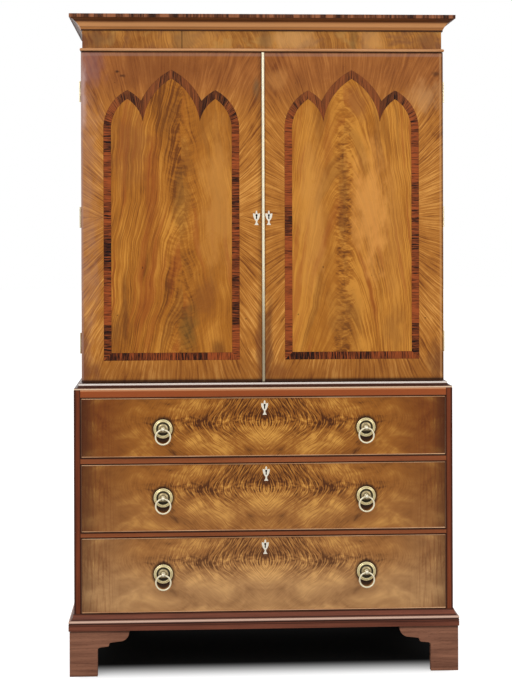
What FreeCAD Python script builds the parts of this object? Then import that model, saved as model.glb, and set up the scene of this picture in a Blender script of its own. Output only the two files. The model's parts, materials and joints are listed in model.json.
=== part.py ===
import FreeCAD, Part
import os
from types import SimpleNamespace

import Sketcher

# A two-part linen press: a chest of three drawers on bracket feet, a cupboard with
# sliding linen trays behind two doors, and a lift-off cornice.
# Millimetres. +X is the right-hand side, -Y is the front, +Z is up. The origin is on
# the floor, under the middle of the press.

doc = FreeCAD.newDocument("linen_press")

DRIVING_SIZES = [
    # alias, millimetres (or a plain number), what it is
    ("base_width", 1164, "chest, over its sides"),
    ("base_depth", 560, "chest, from the drawer rails to the back"),
    ("foot_height", 138.5, "floor to the underside of the chest"),
    ("cupboard_height", 1037.5, "cupboard, from the chest top to the cornice"),
    ("cornice_height", 111.5, "cornice, from the cupboard to the very top"),
    ("board", 20, "thickness of the carcase sides, top and bottom"),
    ("back_board", 12, "thickness of the back boards"),
    ("bottom_rail_height", 50, "rail under the lowest drawer"),
    ("top_rail_height", 24, "rail over the highest drawer"),
    ("upper_rail_height", 20, "rail between the top and middle drawers"),
    ("lower_rail_height", 17, "rail between the middle and bottom drawers"),
    ("rail_depth", 60, "rails, front to back"),
    ("bottom_rail_depth", 22, "bottom rail, front to back"),
    ("opening_1", 182.5, "height of the top drawer opening"),
    ("opening_2", 207.5, "height of the middle drawer opening"),
    ("opening_3", 230, "height of the bottom drawer opening"),
    ("runner_width", 30, "drawer runners"),
    ("dust_board", 7, "dust boards between the drawers"),
    ("waist_projection", 23, "waist moulding, out from the cupboard"),
    ("waist_height", 19, "waist moulding"),
    ("waist_bead_radius", 3, "lower bead of the waist moulding"),
    ("waist_cove_radius", 11, "cove over that bead, and how far it runs in"),
    ("waist_torus_height", 3.5, "small rounded step over the cove"),
    ("waist_torus_radius", 3.4, "small rounded step over the cove"),
    ("waist_bevel", 1, "height of the bevel at the top of the waist moulding"),
    ("waist_bevel_run", 3, "how far that bevel runs in"),
    ("plinth_projection", 16.5, "plinth moulding, out from the chest"),
    ("plinth_reveal", 1, "bottom rail left bare above the plinth moulding"),
    ("plinth_groove_height", 15, "chest's underside to the groove in the plinth moulding"),
    ("plinth_groove", 1, "depth of that groove and half its width"),
    ("plinth_fascia", 20, "height of the plinth moulding's flat face"),
    ("plinth_bevel", 2, "height of the bevel over the flat face"),
    ("plinth_bevel_run", 1.5, "how far that bevel runs in"),
    ("plinth_bead_height", 9, "bead over the bevel"),
    ("plinth_bead_radius", 5, "bead over the bevel"),
    ("plinth_bead_run", 3, "how far the bead runs in"),
    ("plinth_cavetto_radius", 30, "hollow at the top of the plinth moulding"),
    ("plinth_top", 2.5, "thickness of the plinth moulding at its top"),
    ("plinth_top_edge", 1.5, "upright edge at the top of the plinth moulding"),
    ("foot_projection", 13.5, "face of the feet, out from the chest"),
    ("foot_length", 181, "bracket foot, corner to the end of its wing"),
    ("foot_board", 20, "thickness of the bracket feet"),
    ("foot_leg", 85, "width of a foot on the floor"),
    ("foot_hollow", 9, "radius of the hollow where a foot meets its wing"),
    ("foot_ogee", 6, "radius of the two small arcs in a foot's wing"),
    ("foot_sweep", 28, "radius of the arc that ends a foot's wing"),
    ("foot_wing_tip", 5, "height of the end of a foot's wing"),
    ("foot_wing_slope", 0.12, "rise of a wing's two straight parts to their length"),
    ("foot_first_part", 0.425, "first straight part's share of the two"),
    ("glue_block", 48, "corner block behind each foot"),
    ("door_thickness", 22, "doors"),
    ("door_gap", 2, "above and below the doors"),
    ("door_seam", 1.5, "between the two doors"),
    ("hinge_gap", 1, "between a door and the carcase it closes on"),
    ("bottom_lift", 15, "battens under the cupboard's bottom board"),
    ("frieze_inset", 4, "frieze, in from the cupboard side and the door face"),
    ("frieze_board", 20, "thickness of the frieze boards"),
    ("bead_projection", 7.5, "bead under the frieze"),
    ("bead_height", 10, "bead under the frieze"),
    ("cornice_projection", 38, "cornice moulding, out from the frieze"),
    ("cornice_depth", 47.5, "cornice moulding, top to bottom"),
    ("cornice_fillet", 4, "fillet under the cornice's cove, out from the frieze"),
    ("cornice_fillet_height", 4.5, "fillet under the cornice's cove"),
    ("cornice_cove_radius", 65, "cove of the cornice"),
    ("cornice_quirk", 2, "upright step between the cove and the fascia"),
    ("fascia_lap", 4, "fascia, out from the top of the cove"),
    ("fascia_height", 11, "crossbanded fascia at the top of the cornice"),
    ("crossband", 2, "thickness of the fascia crossbanding"),
    ("arch_seam_margin", 69.9, "seam between the doors to the banding"),
    ("arch_outer_margin", 72.1, "cupboard's side to the banding, mean of the two doors"),
    ("arch_spring_drop", 235.5, "top of the door to where the arches spring"),
    ("arch_foot_rise", 67, "bottom of the door to the banding"),
    ("band_width", 23.3, "door banding"),
    ("band_depth", 1.2, "how deep the banding is let in"),
    ("middle_arch_half", 112, "middle arch, half its width where it springs"),
    ("middle_arch_radius", 202.3, "middle arch"),
    ("arch_overlap", 50.3, "how far a side arch runs under the middle arch"),
    ("side_arch_radius", 132.7, "side arch"),
    ("astragal_width", 8.5, "brass strip on the right door"),
    ("astragal_rise", 3.2, "brass strip, out from the door"),
    ("astragal_lap", 1.15, "brass strip, past the right door's edge"),
    ("hinge_length", 64, "butt hinge"),
    ("hinge_leaf_width", 18, "butt hinge leaf, across the board it is let into"),
    ("hinge_leaf", 2, "thickness of a hinge leaf"),
    ("knuckle_radius", 3.2, "hinge knuckle"),
    ("hinge_pin_radius", 1.5, "hinge pin"),
    ("hinge_pin_play", 0.05, "radial clearance of the pin in the door's knuckle"),
    ("knuckle_play", 0.4, "between the knuckles, along the pin"),
    ("knuckle_clearance", 0.5, "hinge knuckle, out from the cupboard's side"),
    ("hinge_end_distance", 120, "end of the door to the middle of a hinge"),
    ("drawer_gap", 1, "around the drawer fronts"),
    ("drawer_front", 22, "thickness of the drawer fronts"),
    ("cockbead", 3, "thickness of the cockbeading"),
    ("cockbead_proud", 2.5, "cockbeading, out from the drawer front"),
    ("drawer_side", 12, "thickness of drawer sides and back"),
    ("drawer_bottom", 8, "thickness of the drawer bottoms"),
    ("bottom_groove", 10, "drawer side's lower edge to the drawer bottom"),
    ("drawer_side_drop", 6, "drawer opening to the top of the drawer side"),
    ("drawer_back_room", 18, "behind a closed drawer"),
    ("dovetail_length", 16, "dovetails, into the drawer front"),
    ("dovetail_share", 0.6, "dovetail width as a share of the pitch"),
    ("dovetail_slope", 2.7, "how much a dovetail narrows on each edge"),
    ("handle_spacing", 624, "between the two handles of a drawer"),
    ("handle_shift", 1.6, "handles, to the right of the middle"),
    ("handle_drop_1", 4.5, "top drawer's handles, below the middle of its opening"),
    ("handle_drop_2", 0.5, "middle drawer's handles, below the middle of its opening"),
    ("handle_drop_3", -2.5, "bottom drawer's handles, below the middle of its opening"),
    ("plate_radius", 29.2, "handle backplate"),
    ("plate_edge", 1.2, "thickness of a backplate at its edge"),
    ("plate_rim", 9.4, "width of a backplate's rounded rim"),
    ("plate_rim_height", 2, "inner side of that rim, off the drawer"),
    ("plate_rim_radius", 8, "rounding of that rim"),
    ("plate_groove", 1, "width of a groove's sides and floor, and its height off the drawer"),
    ("plate_boss_edge", 2.2, "outer side of a backplate's boss, off the drawer"),
    ("plate_boss_height", 5, "inner side of that boss, off the drawer"),
    ("plate_boss_radius", 34, "rounding of that boss"),
    ("stem_flare", 3, "how far a stem widens where it meets the boss"),
    ("stem_flare_radius", 4, "hollow where a stem meets the boss"),
    ("stem_flare_height", 1.4, "height of that hollow"),
    ("stem_radius", 4, "handle stem"),
    ("knob_radius", 6.5, "handle knob"),
    ("knob_standoff", 13.5, "drawer front to the middle of the knob"),
    ("ring_hole_drop", 1.5, "middle of the knob to the hole for the ring"),
    ("ring_radius", 22.6, "ring, to the middle of its wire"),
    ("ring_wire_radius", 2.5, "ring wire"),
    ("ring_clearance", 0.15, "between the ring's wire and its hole, at the closest"),
    ("escutcheon_height", 44.5, "bone escutcheon"),
    ("escutcheon_half_width", 10.8, "bone escutcheon"),
    ("escutcheon_depth", 1.6, "how deep the escutcheon is let in"),
    ("urn_foot", 6, "half the width of an escutcheon's foot"),
    ("urn_foot_height", 2, "upright edge of that foot"),
    ("urn_stem", 2.3, "half the width of an escutcheon at its narrowest"),
    ("urn_stem_height", 12.5, "foot to the narrowest place"),
    ("urn_foot_radius", 12, "hollow between the foot and the narrowest place"),
    ("urn_body_radius", 32, "rounded side of the urn"),
    ("urn_shoulder_drop", 10.5, "top of the finial to the urn's widest place"),
    ("urn_lip", 2, "height of the urn's lip"),
    ("urn_lip_slope", 0.4, "how much the lip narrows"),
    ("urn_shoulder_radius", 12, "hollow top of the urn"),
    ("urn_neck", 3.6, "half the width of the finial's foot"),
    ("urn_neck_height", 3.5, "urn's shoulder to the waist of the finial"),
    ("urn_finial", 2.5, "half the width of the finial"),
    ("urn_finial_tip", 0.6, "half the width of the finial's tip"),
    ("urn_finial_taper", 3, "height of the finial's tapered end"),
    ("keyhole_radius", 3.3, "round part of a keyhole"),
    ("keyhole_slot", 3.6, "width of a keyhole's slot"),
    ("keyhole_rise", 8, "middle of an escutcheon to the round part of its keyhole"),
    ("keyhole_length", 12, "middle of the round part to the end of the slot"),
    ("door_escutcheon_x", 19, "half the distance between the two door escutcheons"),
    ("door_escutcheon_drop", 510, "top of the door to its escutcheon's middle"),
    ("drawer_escutcheon_drop", 33, "top of a drawer opening to its escutcheon's middle"),
    ("escutcheon_shift_1", 1.2, "top drawer's escutcheon, to the right of the middle"),
    ("escutcheon_shift_2", 5.5, "middle drawer's escutcheon, to the right of the middle"),
    ("escutcheon_shift_3", 2, "bottom drawer's escutcheon, to the right of the middle"),
    ("lock_width", 64, "drawer lock case"),
    ("lock_height", 48, "drawer lock case"),
    ("lock_depth", 12, "how deep a lock case is let in"),
    ("lock_plate", 2.7, "front plate of a lock case"),
    ("door_lock_width", 45, "door lock case, in from the door's edge"),
    ("bolt_width", 32, "drawer lock bolt"),
    ("door_bolt_width", 18, "door lock bolt"),
    ("bolt_thickness", 5, "lock bolts"),
    ("bolt_length", 22, "lock bolts"),
    ("bolt_play", 0.3, "around a lock bolt"),
    ("mortice_depth", 10, "mortice for a lock bolt"),
    ("tray_pitch_share", 0.25, "tray pitch as a share of the cupboard's inside height"),
    ("bearer_width", 16, "tray bearers"),
    ("bearer_height", 22, "tray bearers"),
    ("bearer_lift", 6, "cupboard floor to the lowest bearer"),
    ("bearer_setback", 15, "carcase front edge to the bearers"),
    ("tray_side_gap", 1.5, "each side of a tray"),
    ("tray_lift", 0.5, "between a tray and its bearers"),
    ("tray_setback", 30, "carcase front edge to the tray fronts"),
    ("tray_back_gap", 13, "behind the trays"),
    ("tray_height", 128, "linen trays"),
    ("tray_board", 12, "thickness of the tray sides, front and back"),
    ("tray_bottom", 8, "thickness of the tray bottoms"),
    ("tray_dip_width", 440, "hand dip in a tray front"),
    ("tray_dip", 46, "depth of the hand dip"),
]

DOVETAILS = {1: 4, 2: 5, 3: 5}            # tails on each side of each drawer
TRAY_COUNT = 4
BACK_BOARDS = 4
SKETCH_ORIGIN = -1                        # Sketcher's number for the sketch's own origin


# ---------------------------------------------------------------- sizes that bind themselves

class Size:
    """A length that knows its value and the spreadsheet expression it comes from."""

    def __init__(self, value, text):
        self.value = value
        self.text = text

    def __add__(self, other):
        other = as_size(other)
        return Size(self.value + other.value, f"({self.text} + {other.text})")

    def __radd__(self, other):
        return as_size(other) + self

    def __sub__(self, other):
        other = as_size(other)
        return Size(self.value - other.value, f"({self.text} - {other.text})")

    def __rsub__(self, other):
        return as_size(other) - self

    def __mul__(self, other):
        other = as_size(other)
        return Size(self.value * other.value, f"({self.text} * {other.text})")

    def __rmul__(self, other):
        return as_size(other) * self

    def __truediv__(self, other):
        other = as_size(other)
        return Size(self.value / other.value, f"({self.text} / {other.text})")

    def __neg__(self):
        return as_size(0) - self

    def root(self):
        return Size(self.value ** 0.5, f"sqrt({self.text})")


def as_size(number):
    return number if isinstance(number, Size) else Size(float(number), f"({number})")


def make_sheet():
    sheet = doc.addObject("Spreadsheet::Sheet", "sizes")
    named = {}
    for row, (alias, value, meaning) in enumerate(DRIVING_SIZES, start=1):
        sheet.set(f"A{row}", meaning)
        sheet.set(f"B{row}", str(value))
        sheet.setAlias(f"B{row}", alias)
        named[alias] = Size(float(value), f"sizes.{alias}")
    doc.recompute()
    return SimpleNamespace(**named)


s = make_sheet()


# ---------------------------------------------------------------- how pieces are made

def bind(item, prop, size):
    item.setExpression(prop, as_size(size).text)


def place(item, x, y, z):
    for axis, size in zip("xyz", (x, y, z)):
        bind(item, f"Placement.Base.{axis}", size)


def turn(item, along_x, along_y):
    """Point the item's own X and Y axes along two given directions."""
    x_axis = FreeCAD.Vector(*along_x)
    y_axis = FreeCAD.Vector(*along_y)
    z_axis = x_axis.cross(y_axis)
    item.Placement = FreeCAD.Placement(
        FreeCAD.Vector(), FreeCAD.Rotation(x_axis, y_axis, z_axis, "ZXY"))


def box(name, x, y, z):
    """A board, from its low and high side along X, Y and Z."""
    piece = doc.addObject("Part::Box", name)
    for prop, (low, high) in zip(("Length", "Width", "Height"), (x, y, z)):
        bind(piece, prop, as_size(high) - low)
    place(piece, x[0], y[0], z[0])
    return piece


def around(middle, half):
    return middle - half, middle + half


def rod(name, radius, length, start, along):
    """A cylinder from its start point along +X, +Y or +Z."""
    piece = doc.addObject("Part::Cylinder", name)
    directions = {"x": ((0, 1, 0), (0, 0, 1)), "y": ((0, 0, 1), (1, 0, 0)), "z": ((1, 0, 0), (0, 1, 0))}
    turn(piece, *directions[along])
    bind(piece, "Radius", radius)
    bind(piece, "Height", length)
    place(piece, *start)
    return piece


def wedge(name, near, far, z):
    """A prism whose X span goes from near[1:] at Y near[0] to far[1:] at Y far[0]."""
    piece = doc.addObject("Part::Wedge", name)
    for prop, size in (("Ymin", near[0]), ("Xmin", near[1]), ("Xmax", near[2]),
                       ("Ymax", far[0]), ("X2min", far[1]), ("X2max", far[2]),
                       ("Zmin", z[0]), ("Zmax", z[1]), ("Z2min", z[0]), ("Z2max", z[1])):
        bind(piece, prop, size)
    return piece


def fuse(name, pieces):
    joined = doc.addObject("Part::MultiFuse", name)
    joined.Shapes = pieces
    return joined


def common(name, pieces):
    shared = doc.addObject("Part::MultiCommon", name)
    shared.Shapes = pieces
    return shared


def group(name, pieces):
    """Separate solids that share one node."""
    together = doc.addObject("Part::Compound", name)
    together.Links = pieces
    return together


def cut(name, piece, tools):
    remainder = doc.addObject("Part::Cut", name)
    remainder.Base = piece
    remainder.Tool = tools[0] if len(tools) == 1 else group(name + "_tools", tools)
    return remainder


def arc_centre(start, end, radius, turns_left):
    """Centre of the arc under a half turn from start to end, left or right of the way."""
    chord = FreeCAD.Vector(end[0] - start[0], end[1] - start[1], 0)
    middle = FreeCAD.Vector((start[0] + end[0]) / 2, (start[1] + end[1]) / 2, 0)
    height = max(radius ** 2 - chord.Length ** 2 / 4, 0) ** 0.5
    left = FreeCAD.Vector(-chord.y, chord.x, 0).normalize()
    return middle + left * (height if turns_left else -height)


def draw_outline(sketch, corners):
    """Draw a closed outline in a sketch and pin every corner to the spreadsheet.

    A corner is (x, y), reached by a straight line, or (x, y, radius, side), reached by
    an arc of that radius that turns to that side ("left" or "right") on the way.
    """
    points = [(as_size(corner[0]), as_size(corner[1])) for corner in corners]
    for index, corner in enumerate(corners):
        start, end = points[index - 1], points[index]
        start_xy = (start[0].value, start[1].value)
        end_xy = (end[0].value, end[1].value)
        if len(corner) == 2:
            sketch.addGeometry(Part.LineSegment(FreeCAD.Vector(*start_xy, 0), FreeCAD.Vector(*end_xy, 0)))
            first_end, second_end = 1, 2
        else:
            radius, side = as_size(corner[2]), corner[3]
            turns_left = side == "left"
            centre = arc_centre(start_xy, end_xy, radius.value, turns_left)
            circle = Part.Circle(centre, FreeCAD.Vector(0, 0, 1), radius.value)
            from_start = circle.parameter(FreeCAD.Vector(*start_xy, 0))
            from_end = circle.parameter(FreeCAD.Vector(*end_xy, 0))
            span = (from_start, from_end) if turns_left else (from_end, from_start)
            sketch.addGeometry(Part.ArcOfCircle(circle, *span))
            first_end, second_end = (1, 2) if turns_left else (2, 1)
            number = sketch.addConstraint(Sketcher.Constraint("Radius", index, radius.value))
            sketch.setExpression(f"Constraints[{number}]", radius.text)
        for end_number, (x, y) in ((first_end, start), (second_end, end)):
            for kind, size in (("DistanceX", x), ("DistanceY", y)):
                number = sketch.addConstraint(Sketcher.Constraint(
                    kind, SKETCH_ORIGIN, 1, index, end_number, size.value))
                sketch.setExpression(f"Constraints[{number}]", size.text)


def moulding_length(name, corners, length, start, outwards, extent):
    """A straight moulding: its outline (out, up) drawn at start, then run to its left."""
    sketch = doc.addObject("Sketcher::SketchObject", name + "_outline")
    turn(sketch, outwards, (0, 0, 1))
    place(sketch, *start)
    draw_outline(sketch, corners)
    run = doc.addObject("Part::Extrusion", name + "_run")
    run.Base = sketch
    run.DirMode = "Normal"
    run.Solid = True
    bind(run, "LengthFwd", length)
    return common(name, [run, extent])


def mitred_moulding(node, corners, projection, half_width, front_y, back_y, z):
    """Three lengths of moulding, mitred at the two front corners."""
    bottom, top = z
    reach = half_width + projection
    lip_y = front_y - projection
    front_mitres = wedge(node + "_front_mitres", (lip_y, -reach, reach),
                         (front_y, -half_width, half_width), z)
    left_mitre = wedge(node + "_left_mitre", (half_width, front_y, back_y), (reach, lip_y, back_y), z)
    turn(left_mitre, (0, 1, 0), (-1, 0, 0))
    right_mitre = wedge(node + "_right_mitre", (half_width, -back_y, -front_y),
                        (reach, -back_y, -lip_y), z)
    turn(right_mitre, (0, -1, 0), (1, 0, 0))
    return [
        moulding_length(node + "_front", corners, reach * 2,
                        (reach, front_y, bottom), (0, -1, 0), front_mitres),
        moulding_length(node + "_left", corners, back_y - lip_y,
                        (-half_width, lip_y, bottom), (-1, 0, 0), left_mitre),
        moulding_length(node + "_right", corners, back_y - lip_y,
                        (half_width, back_y, bottom), (1, 0, 0), right_mitre),
    ]


def body_pad(name, corners, depth, start, across, upwards):
    """A flat outline padded by its depth, square to the outline, as a PartDesign body."""
    body = doc.addObject("PartDesign::Body", name)
    sketch = body.newObject("Sketcher::SketchObject", name + "_outline")
    sketch.AttachmentSupport = [(origin_plane(body, "XY_Plane"), "")]
    sketch.MapMode = "FlatFace"
    draw_outline(sketch, corners)
    pad = body.newObject("PartDesign::Pad", name + "_pad")
    pad.Profile = sketch
    bind(pad, "Length", depth)
    turn(body, across, upwards)
    place(body, *start)
    return body


def body_turned(name, corners, start):
    """An outline (radius, height) turned about its height axis, which points to the front."""
    body = doc.addObject("PartDesign::Body", name)
    sketch = body.newObject("Sketcher::SketchObject", name + "_outline")
    sketch.AttachmentSupport = [(origin_plane(body, "XY_Plane"), "")]
    sketch.MapMode = "FlatFace"
    draw_outline(sketch, corners)
    revolution = body.newObject("PartDesign::Revolution", name + "_turning")
    revolution.Profile = sketch
    revolution.ReferenceAxis = (sketch, ["V_Axis"])
    revolution.Angle = 360
    turn(body, (1, 0, 0), (0, -1, 0))
    place(body, *start)
    return body


def origin_plane(body, role):
    return next(feature for feature in body.Origin.OriginFeatures if feature.Role == role)


NODES = []


def node(label, piece):
    """Give a finished sub-part its name. Its file takes the same name."""
    piece.Label = label
    NODES.append(piece)
    return piece


# ---------------------------------------------------------------- where things stand

knob_reach = s.knob_standoff + s.knob_radius
front = (knob_reach - s.base_depth) / 2            # face of the drawer rails
back = front + s.base_depth
half_chest = s.base_width / 2
inside_chest = half_chest - s.board                # middle to a drawer opening's side
chest_bottom = s.foot_height

opening_floor = {3: chest_bottom + s.bottom_rail_height}
opening_height = {1: s.opening_1, 2: s.opening_2, 3: s.opening_3}
opening_floor[2] = opening_floor[3] + s.opening_3 + s.lower_rail_height
opening_floor[1] = opening_floor[2] + s.opening_2 + s.upper_rail_height
opening_top = {number: opening_floor[number] + opening_height[number] for number in opening_floor}
handle_drop = {1: s.handle_drop_1, 2: s.handle_drop_2, 3: s.handle_drop_3}
drawer_key_x = {1: s.escutcheon_shift_1, 2: s.escutcheon_shift_2, 3: s.escutcheon_shift_3}
chest_top = opening_top[1] + s.top_rail_height

half_cupboard = half_chest - s.waist_projection
inside_cupboard = half_cupboard - s.board
door_face = front + s.waist_projection
door_back = door_face + s.door_thickness
cupboard_front = door_back + s.hinge_gap
cupboard_top = chest_top + s.cupboard_height
door_bottom = chest_top + s.waist_height + s.door_gap
door_top = cupboard_top - s.door_gap
shelf_bottom = chest_top + s.bottom_lift
cupboard_floor = shelf_bottom + s.board
cupboard_ceiling = cupboard_top - s.board
inside_back = back - s.back_board
right_door_edge = s.astragal_lap - s.astragal_width / 2       # the astragal stands over the middle
left_door_edge = right_door_edge - s.door_seam
seam = right_door_edge - s.door_seam / 2

hinge_offset = s.knuckle_radius + s.knuckle_clearance         # pin, out from the cupboard's side

arch_half_width = (half_cupboard - s.arch_seam_margin - s.arch_outer_margin) / 2
arch_middle = s.arch_seam_margin + arch_half_width           # seam to the middle of a banding
side_arch_half = (arch_half_width - s.middle_arch_half + s.arch_overlap) / 2

ring_bend = s.knob_radius * s.knob_radius / (s.ring_radius * 2)   # of the wire, inside the knob
ring_hole_radius = s.ring_wire_radius + ring_bend / 2 + s.ring_clearance

half_frieze = half_cupboard - s.frieze_inset
frieze_face = door_face + s.frieze_inset
cornice_top = cupboard_top + s.cornice_height
cornice_bottom = cornice_top - s.cornice_depth


# ---------------------------------------------------------------- cornice

def build_cornice():
    p = s.cornice_projection - s.crossband
    cove = p - s.fascia_lap
    fascia_bottom = s.cornice_depth - s.fascia_height
    outline = [(0, 0), (s.cornice_fillet, 0), (s.cornice_fillet, s.cornice_fillet_height),
               (cove, fascia_bottom - s.cornice_quirk, s.cornice_cove_radius, "right"),
               (cove, fascia_bottom), (p, fascia_bottom), (p, s.cornice_depth), (0, s.cornice_depth)]
    z = (cornice_bottom, cornice_top)
    node("cornice_moulding", group("cornice", mitred_moulding(
        "cornice_length", outline, p, half_frieze, frieze_face, back, z)))

    strip = [(0, 0), (s.crossband, 0), (s.crossband, s.fascia_height), (0, s.fascia_height)]
    node("cornice_crossbanding", group("crossbanding", mitred_moulding(
        "crossband_length", strip, s.crossband, half_frieze + p, frieze_face - p, back,
        (cornice_top - s.fascia_height, cornice_top))))

    nose = s.bead_height / 2
    flat = s.bead_projection - nose
    bead = [(0, 0), (flat, 0), (flat + nose, nose, nose, "left"),
            (flat, s.bead_height, nose, "left"), (0, s.bead_height)]
    node("frieze_bead", group("bead", mitred_moulding(
        "bead_length", bead, s.bead_projection, half_frieze, frieze_face, back,
        (cupboard_top, cupboard_top + s.bead_height))))

    t = s.frieze_board
    z = (cupboard_top, cornice_top)
    inner = half_frieze - t
    dust_top = cornice_top - t
    dust_z = (dust_top - s.back_board, dust_top)
    boards = [
        box("frieze_front", (-half_frieze, half_frieze), (frieze_face, frieze_face + t), z),
        box("frieze_left", (-half_frieze, -inner), (frieze_face + t, back), z),
        box("frieze_right", (inner, half_frieze), (frieze_face + t, back), z),
        box("cornice_back_rail", (-inner, inner), (back - t, back), z),
        box("cornice_dust_board", (-inner, inner), (frieze_face + t, back - t), dust_z),
    ]
    node("cornice_frame", group("cornice_boards", boards))


# ---------------------------------------------------------------- cupboard

def hinge_heights():
    low = door_bottom + s.hinge_end_distance
    high = door_top - s.hinge_end_distance
    return [low, (low + high) / 2, high]


def span(side, near, far):
    """The X span from near to far on the left (-1) or the right (1), low side first."""
    return (near, far) if side > 0 else (-as_size(far), -as_size(near))


def leaf_recesses(name, side, y):
    """Cuts in which the hinge leaves lie flush."""
    x = span(side, half_cupboard - s.hinge_leaf_width, half_cupboard)
    return [box(f"{name}_{index}", x, y, around(height, s.hinge_length / 2))
            for index, height in enumerate(hinge_heights())]


def hinge_leaf(name, side, height, y, knuckle_spans, bore):
    """One hinge leaf with its knuckles, bored for the pin."""
    pin_x = side * (half_cupboard + hinge_offset)
    pin_y = cupboard_front - s.hinge_gap / 2
    low = height - s.hinge_length / 2
    plate_x = span(side, half_cupboard - s.hinge_leaf_width, half_cupboard)
    wrap_x = span(side, half_cupboard, half_cupboard + hinge_offset)
    pieces = [box(name + "_plate", plate_x, y, around(height, s.hinge_length / 2))]
    for index, (start, end) in enumerate(knuckle_spans):
        bottom = (pin_x, pin_y, low + start)
        pieces.append(box(f"{name}_wrap_{index}", wrap_x, y, (low + start, low + end)))
        pieces.append(rod(f"{name}_knuckle_{index}", s.knuckle_radius, end - start, bottom, "z"))
    hole = rod(name + "_bore", bore, s.hinge_length, (pin_x, pin_y, low), "z")
    return cut(name, fuse(name + "_blank", pieces), [hole])


def carcase_hinges():
    """Leaves on the cupboard's front edges, each with the pin that both leaves share."""
    third = s.hinge_length / 3
    outer_knuckles = [(as_size(0), third - s.knuckle_play / 2),
                      (third * 2 + s.knuckle_play / 2, s.hinge_length)]
    pieces = []
    for side, hand in ((-1, "left"), (1, "right")):
        for index, height in enumerate(hinge_heights()):
            name = f"{hand}_carcase_hinge_{index}"
            pieces.append(hinge_leaf(name, side, height, (cupboard_front, cupboard_front + s.hinge_leaf),
                                     outer_knuckles, s.hinge_pin_radius))
            start = (side * (half_cupboard + hinge_offset), cupboard_front - s.hinge_gap / 2,
                     height - s.hinge_length / 2)
            pieces.append(rod(name + "_pin", s.hinge_pin_radius, s.hinge_length, start, "z"))
    node("carcase_hinges_and_pins", group("carcase_hinges", pieces))


def build_cupboard():
    z = (chest_top, cupboard_top)
    sides = []
    leaf_y = (cupboard_front, cupboard_front + s.hinge_leaf)
    for side, hand in ((-1, "left"), (1, "right")):
        x = span(side, inside_cupboard, half_cupboard)
        board = box(f"{hand}_side_board", x, (cupboard_front, back), z)
        recesses = leaf_recesses(f"{hand}_side_recess", side, leaf_y)
        sides.append(cut(f"{hand}_cupboard_side", board, recesses))
    node("cupboard_sides", group("side_pair", sides))

    x = (-inside_cupboard, inside_cupboard)
    batten = s.rail_depth
    node("cupboard_top_and_bottom", group("cupboard_boards", [
        box("cupboard_ceiling_board", x, (cupboard_front, inside_back), (cupboard_ceiling, cupboard_top)),
        box("cupboard_floor_board", x, (cupboard_front, inside_back), (shelf_bottom, cupboard_floor)),
        box("cupboard_front_batten", x, (cupboard_front, cupboard_front + batten), (chest_top, shelf_bottom)),
        box("cupboard_back_batten", x, (inside_back - batten, inside_back), (chest_top, shelf_bottom)),
    ]))
    node("cupboard_back", group("cupboard_back_boards",
                                upright_boards("cupboard_back_board", inside_cupboard, z)))

    bearers = []
    y = (cupboard_front + s.bearer_setback, inside_back)
    for side, hand in ((-1, "left"), (1, "right")):
        x = span(side, inside_cupboard - s.bearer_width, inside_cupboard)
        for number in range(TRAY_COUNT):
            z = (tray_level(number) - s.bearer_height, tray_level(number))
            bearers.append(box(f"{hand}_bearer_{number}", x, y, z))
    node("tray_bearers", group("bearers", bearers))
    carcase_hinges()


def upright_boards(name, half_width, z):
    """The back, as upright boards edge to edge."""
    width = half_width * 2 / BACK_BOARDS
    return [box(f"{name}_{index}", (-half_width + width * index, -half_width + width * (index + 1)),
                (inside_back, back), z) for index in range(BACK_BOARDS)]


def tray_level(number):
    """The top of the bearers that carry a tray, counted from the bottom."""
    pitch = (cupboard_ceiling - cupboard_floor) * s.tray_pitch_share
    return cupboard_floor + s.bearer_lift + s.bearer_height + pitch * number


def build_tray(number):
    """A linen tray: four boards, a bottom, and a dip in the front to reach in by."""
    name = f"linen_tray_{number + 1}"
    t = s.tray_board
    outside = inside_cupboard - s.tray_side_gap
    inside = outside - t
    tray_front = cupboard_front + s.tray_setback
    tray_back = inside_back - s.tray_back_gap
    low = tray_level(number) + s.tray_lift
    z = (low, low + s.tray_height)
    blank = box(name + "_front_board", (-inside, inside), (tray_front, tray_front + t), z)
    dip_radius = (s.tray_dip_width * s.tray_dip_width / 4 + s.tray_dip * s.tray_dip) / (s.tray_dip * 2)
    dip = rod(name + "_dip", dip_radius, t, (0, tray_front, z[1] + dip_radius - s.tray_dip), "y")
    bottom_z = (low + s.bottom_groove, low + s.bottom_groove + s.tray_bottom)
    node(name, group(name + "_boards", [
        cut(name + "_front", blank, [dip]),
        box(name + "_left", (-outside, -inside), (tray_front, tray_back), z),
        box(name + "_right", (inside, outside), (tray_front, tray_back), z),
        box(name + "_back", (-inside, inside), (tray_back - t, tray_back), z),
        box(name + "_bottom", (-inside, inside), (tray_front + t, tray_back - t), bottom_z),
    ]))


# ---------------------------------------------------------------- doors

def arch_blank(name, middle_x, inset, y):
    """The pointed three-arched panel outline, drawn in by inset on every side."""
    spring = door_top - s.arch_spring_drop
    foot = door_bottom + s.arch_foot_rise + inset
    half = arch_half_width - inset
    depth = y[1] - y[0]
    arches = [(0, s.middle_arch_half, s.middle_arch_radius),
              (side_arch_half - arch_half_width, side_arch_half, s.side_arch_radius),
              (arch_half_width - side_arch_half, side_arch_half, s.side_arch_radius)]
    pieces = [box(name + "_field", around(middle_x, half), y, (foot, spring))]
    for index, (offset, half_width, radius) in enumerate(arches):
        flanks = []
        for hand, direction in (("left", -1), ("right", 1)):
            centre_x = middle_x + offset + direction * (half_width - radius)
            flanks.append(rod(f"{name}_{hand}_{index}", radius - inset, depth, (centre_x, y[0], spring), "y"))
        pieces.append(common(f"{name}_arch_{index}", flanks))
    return fuse(name, pieces)


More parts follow.
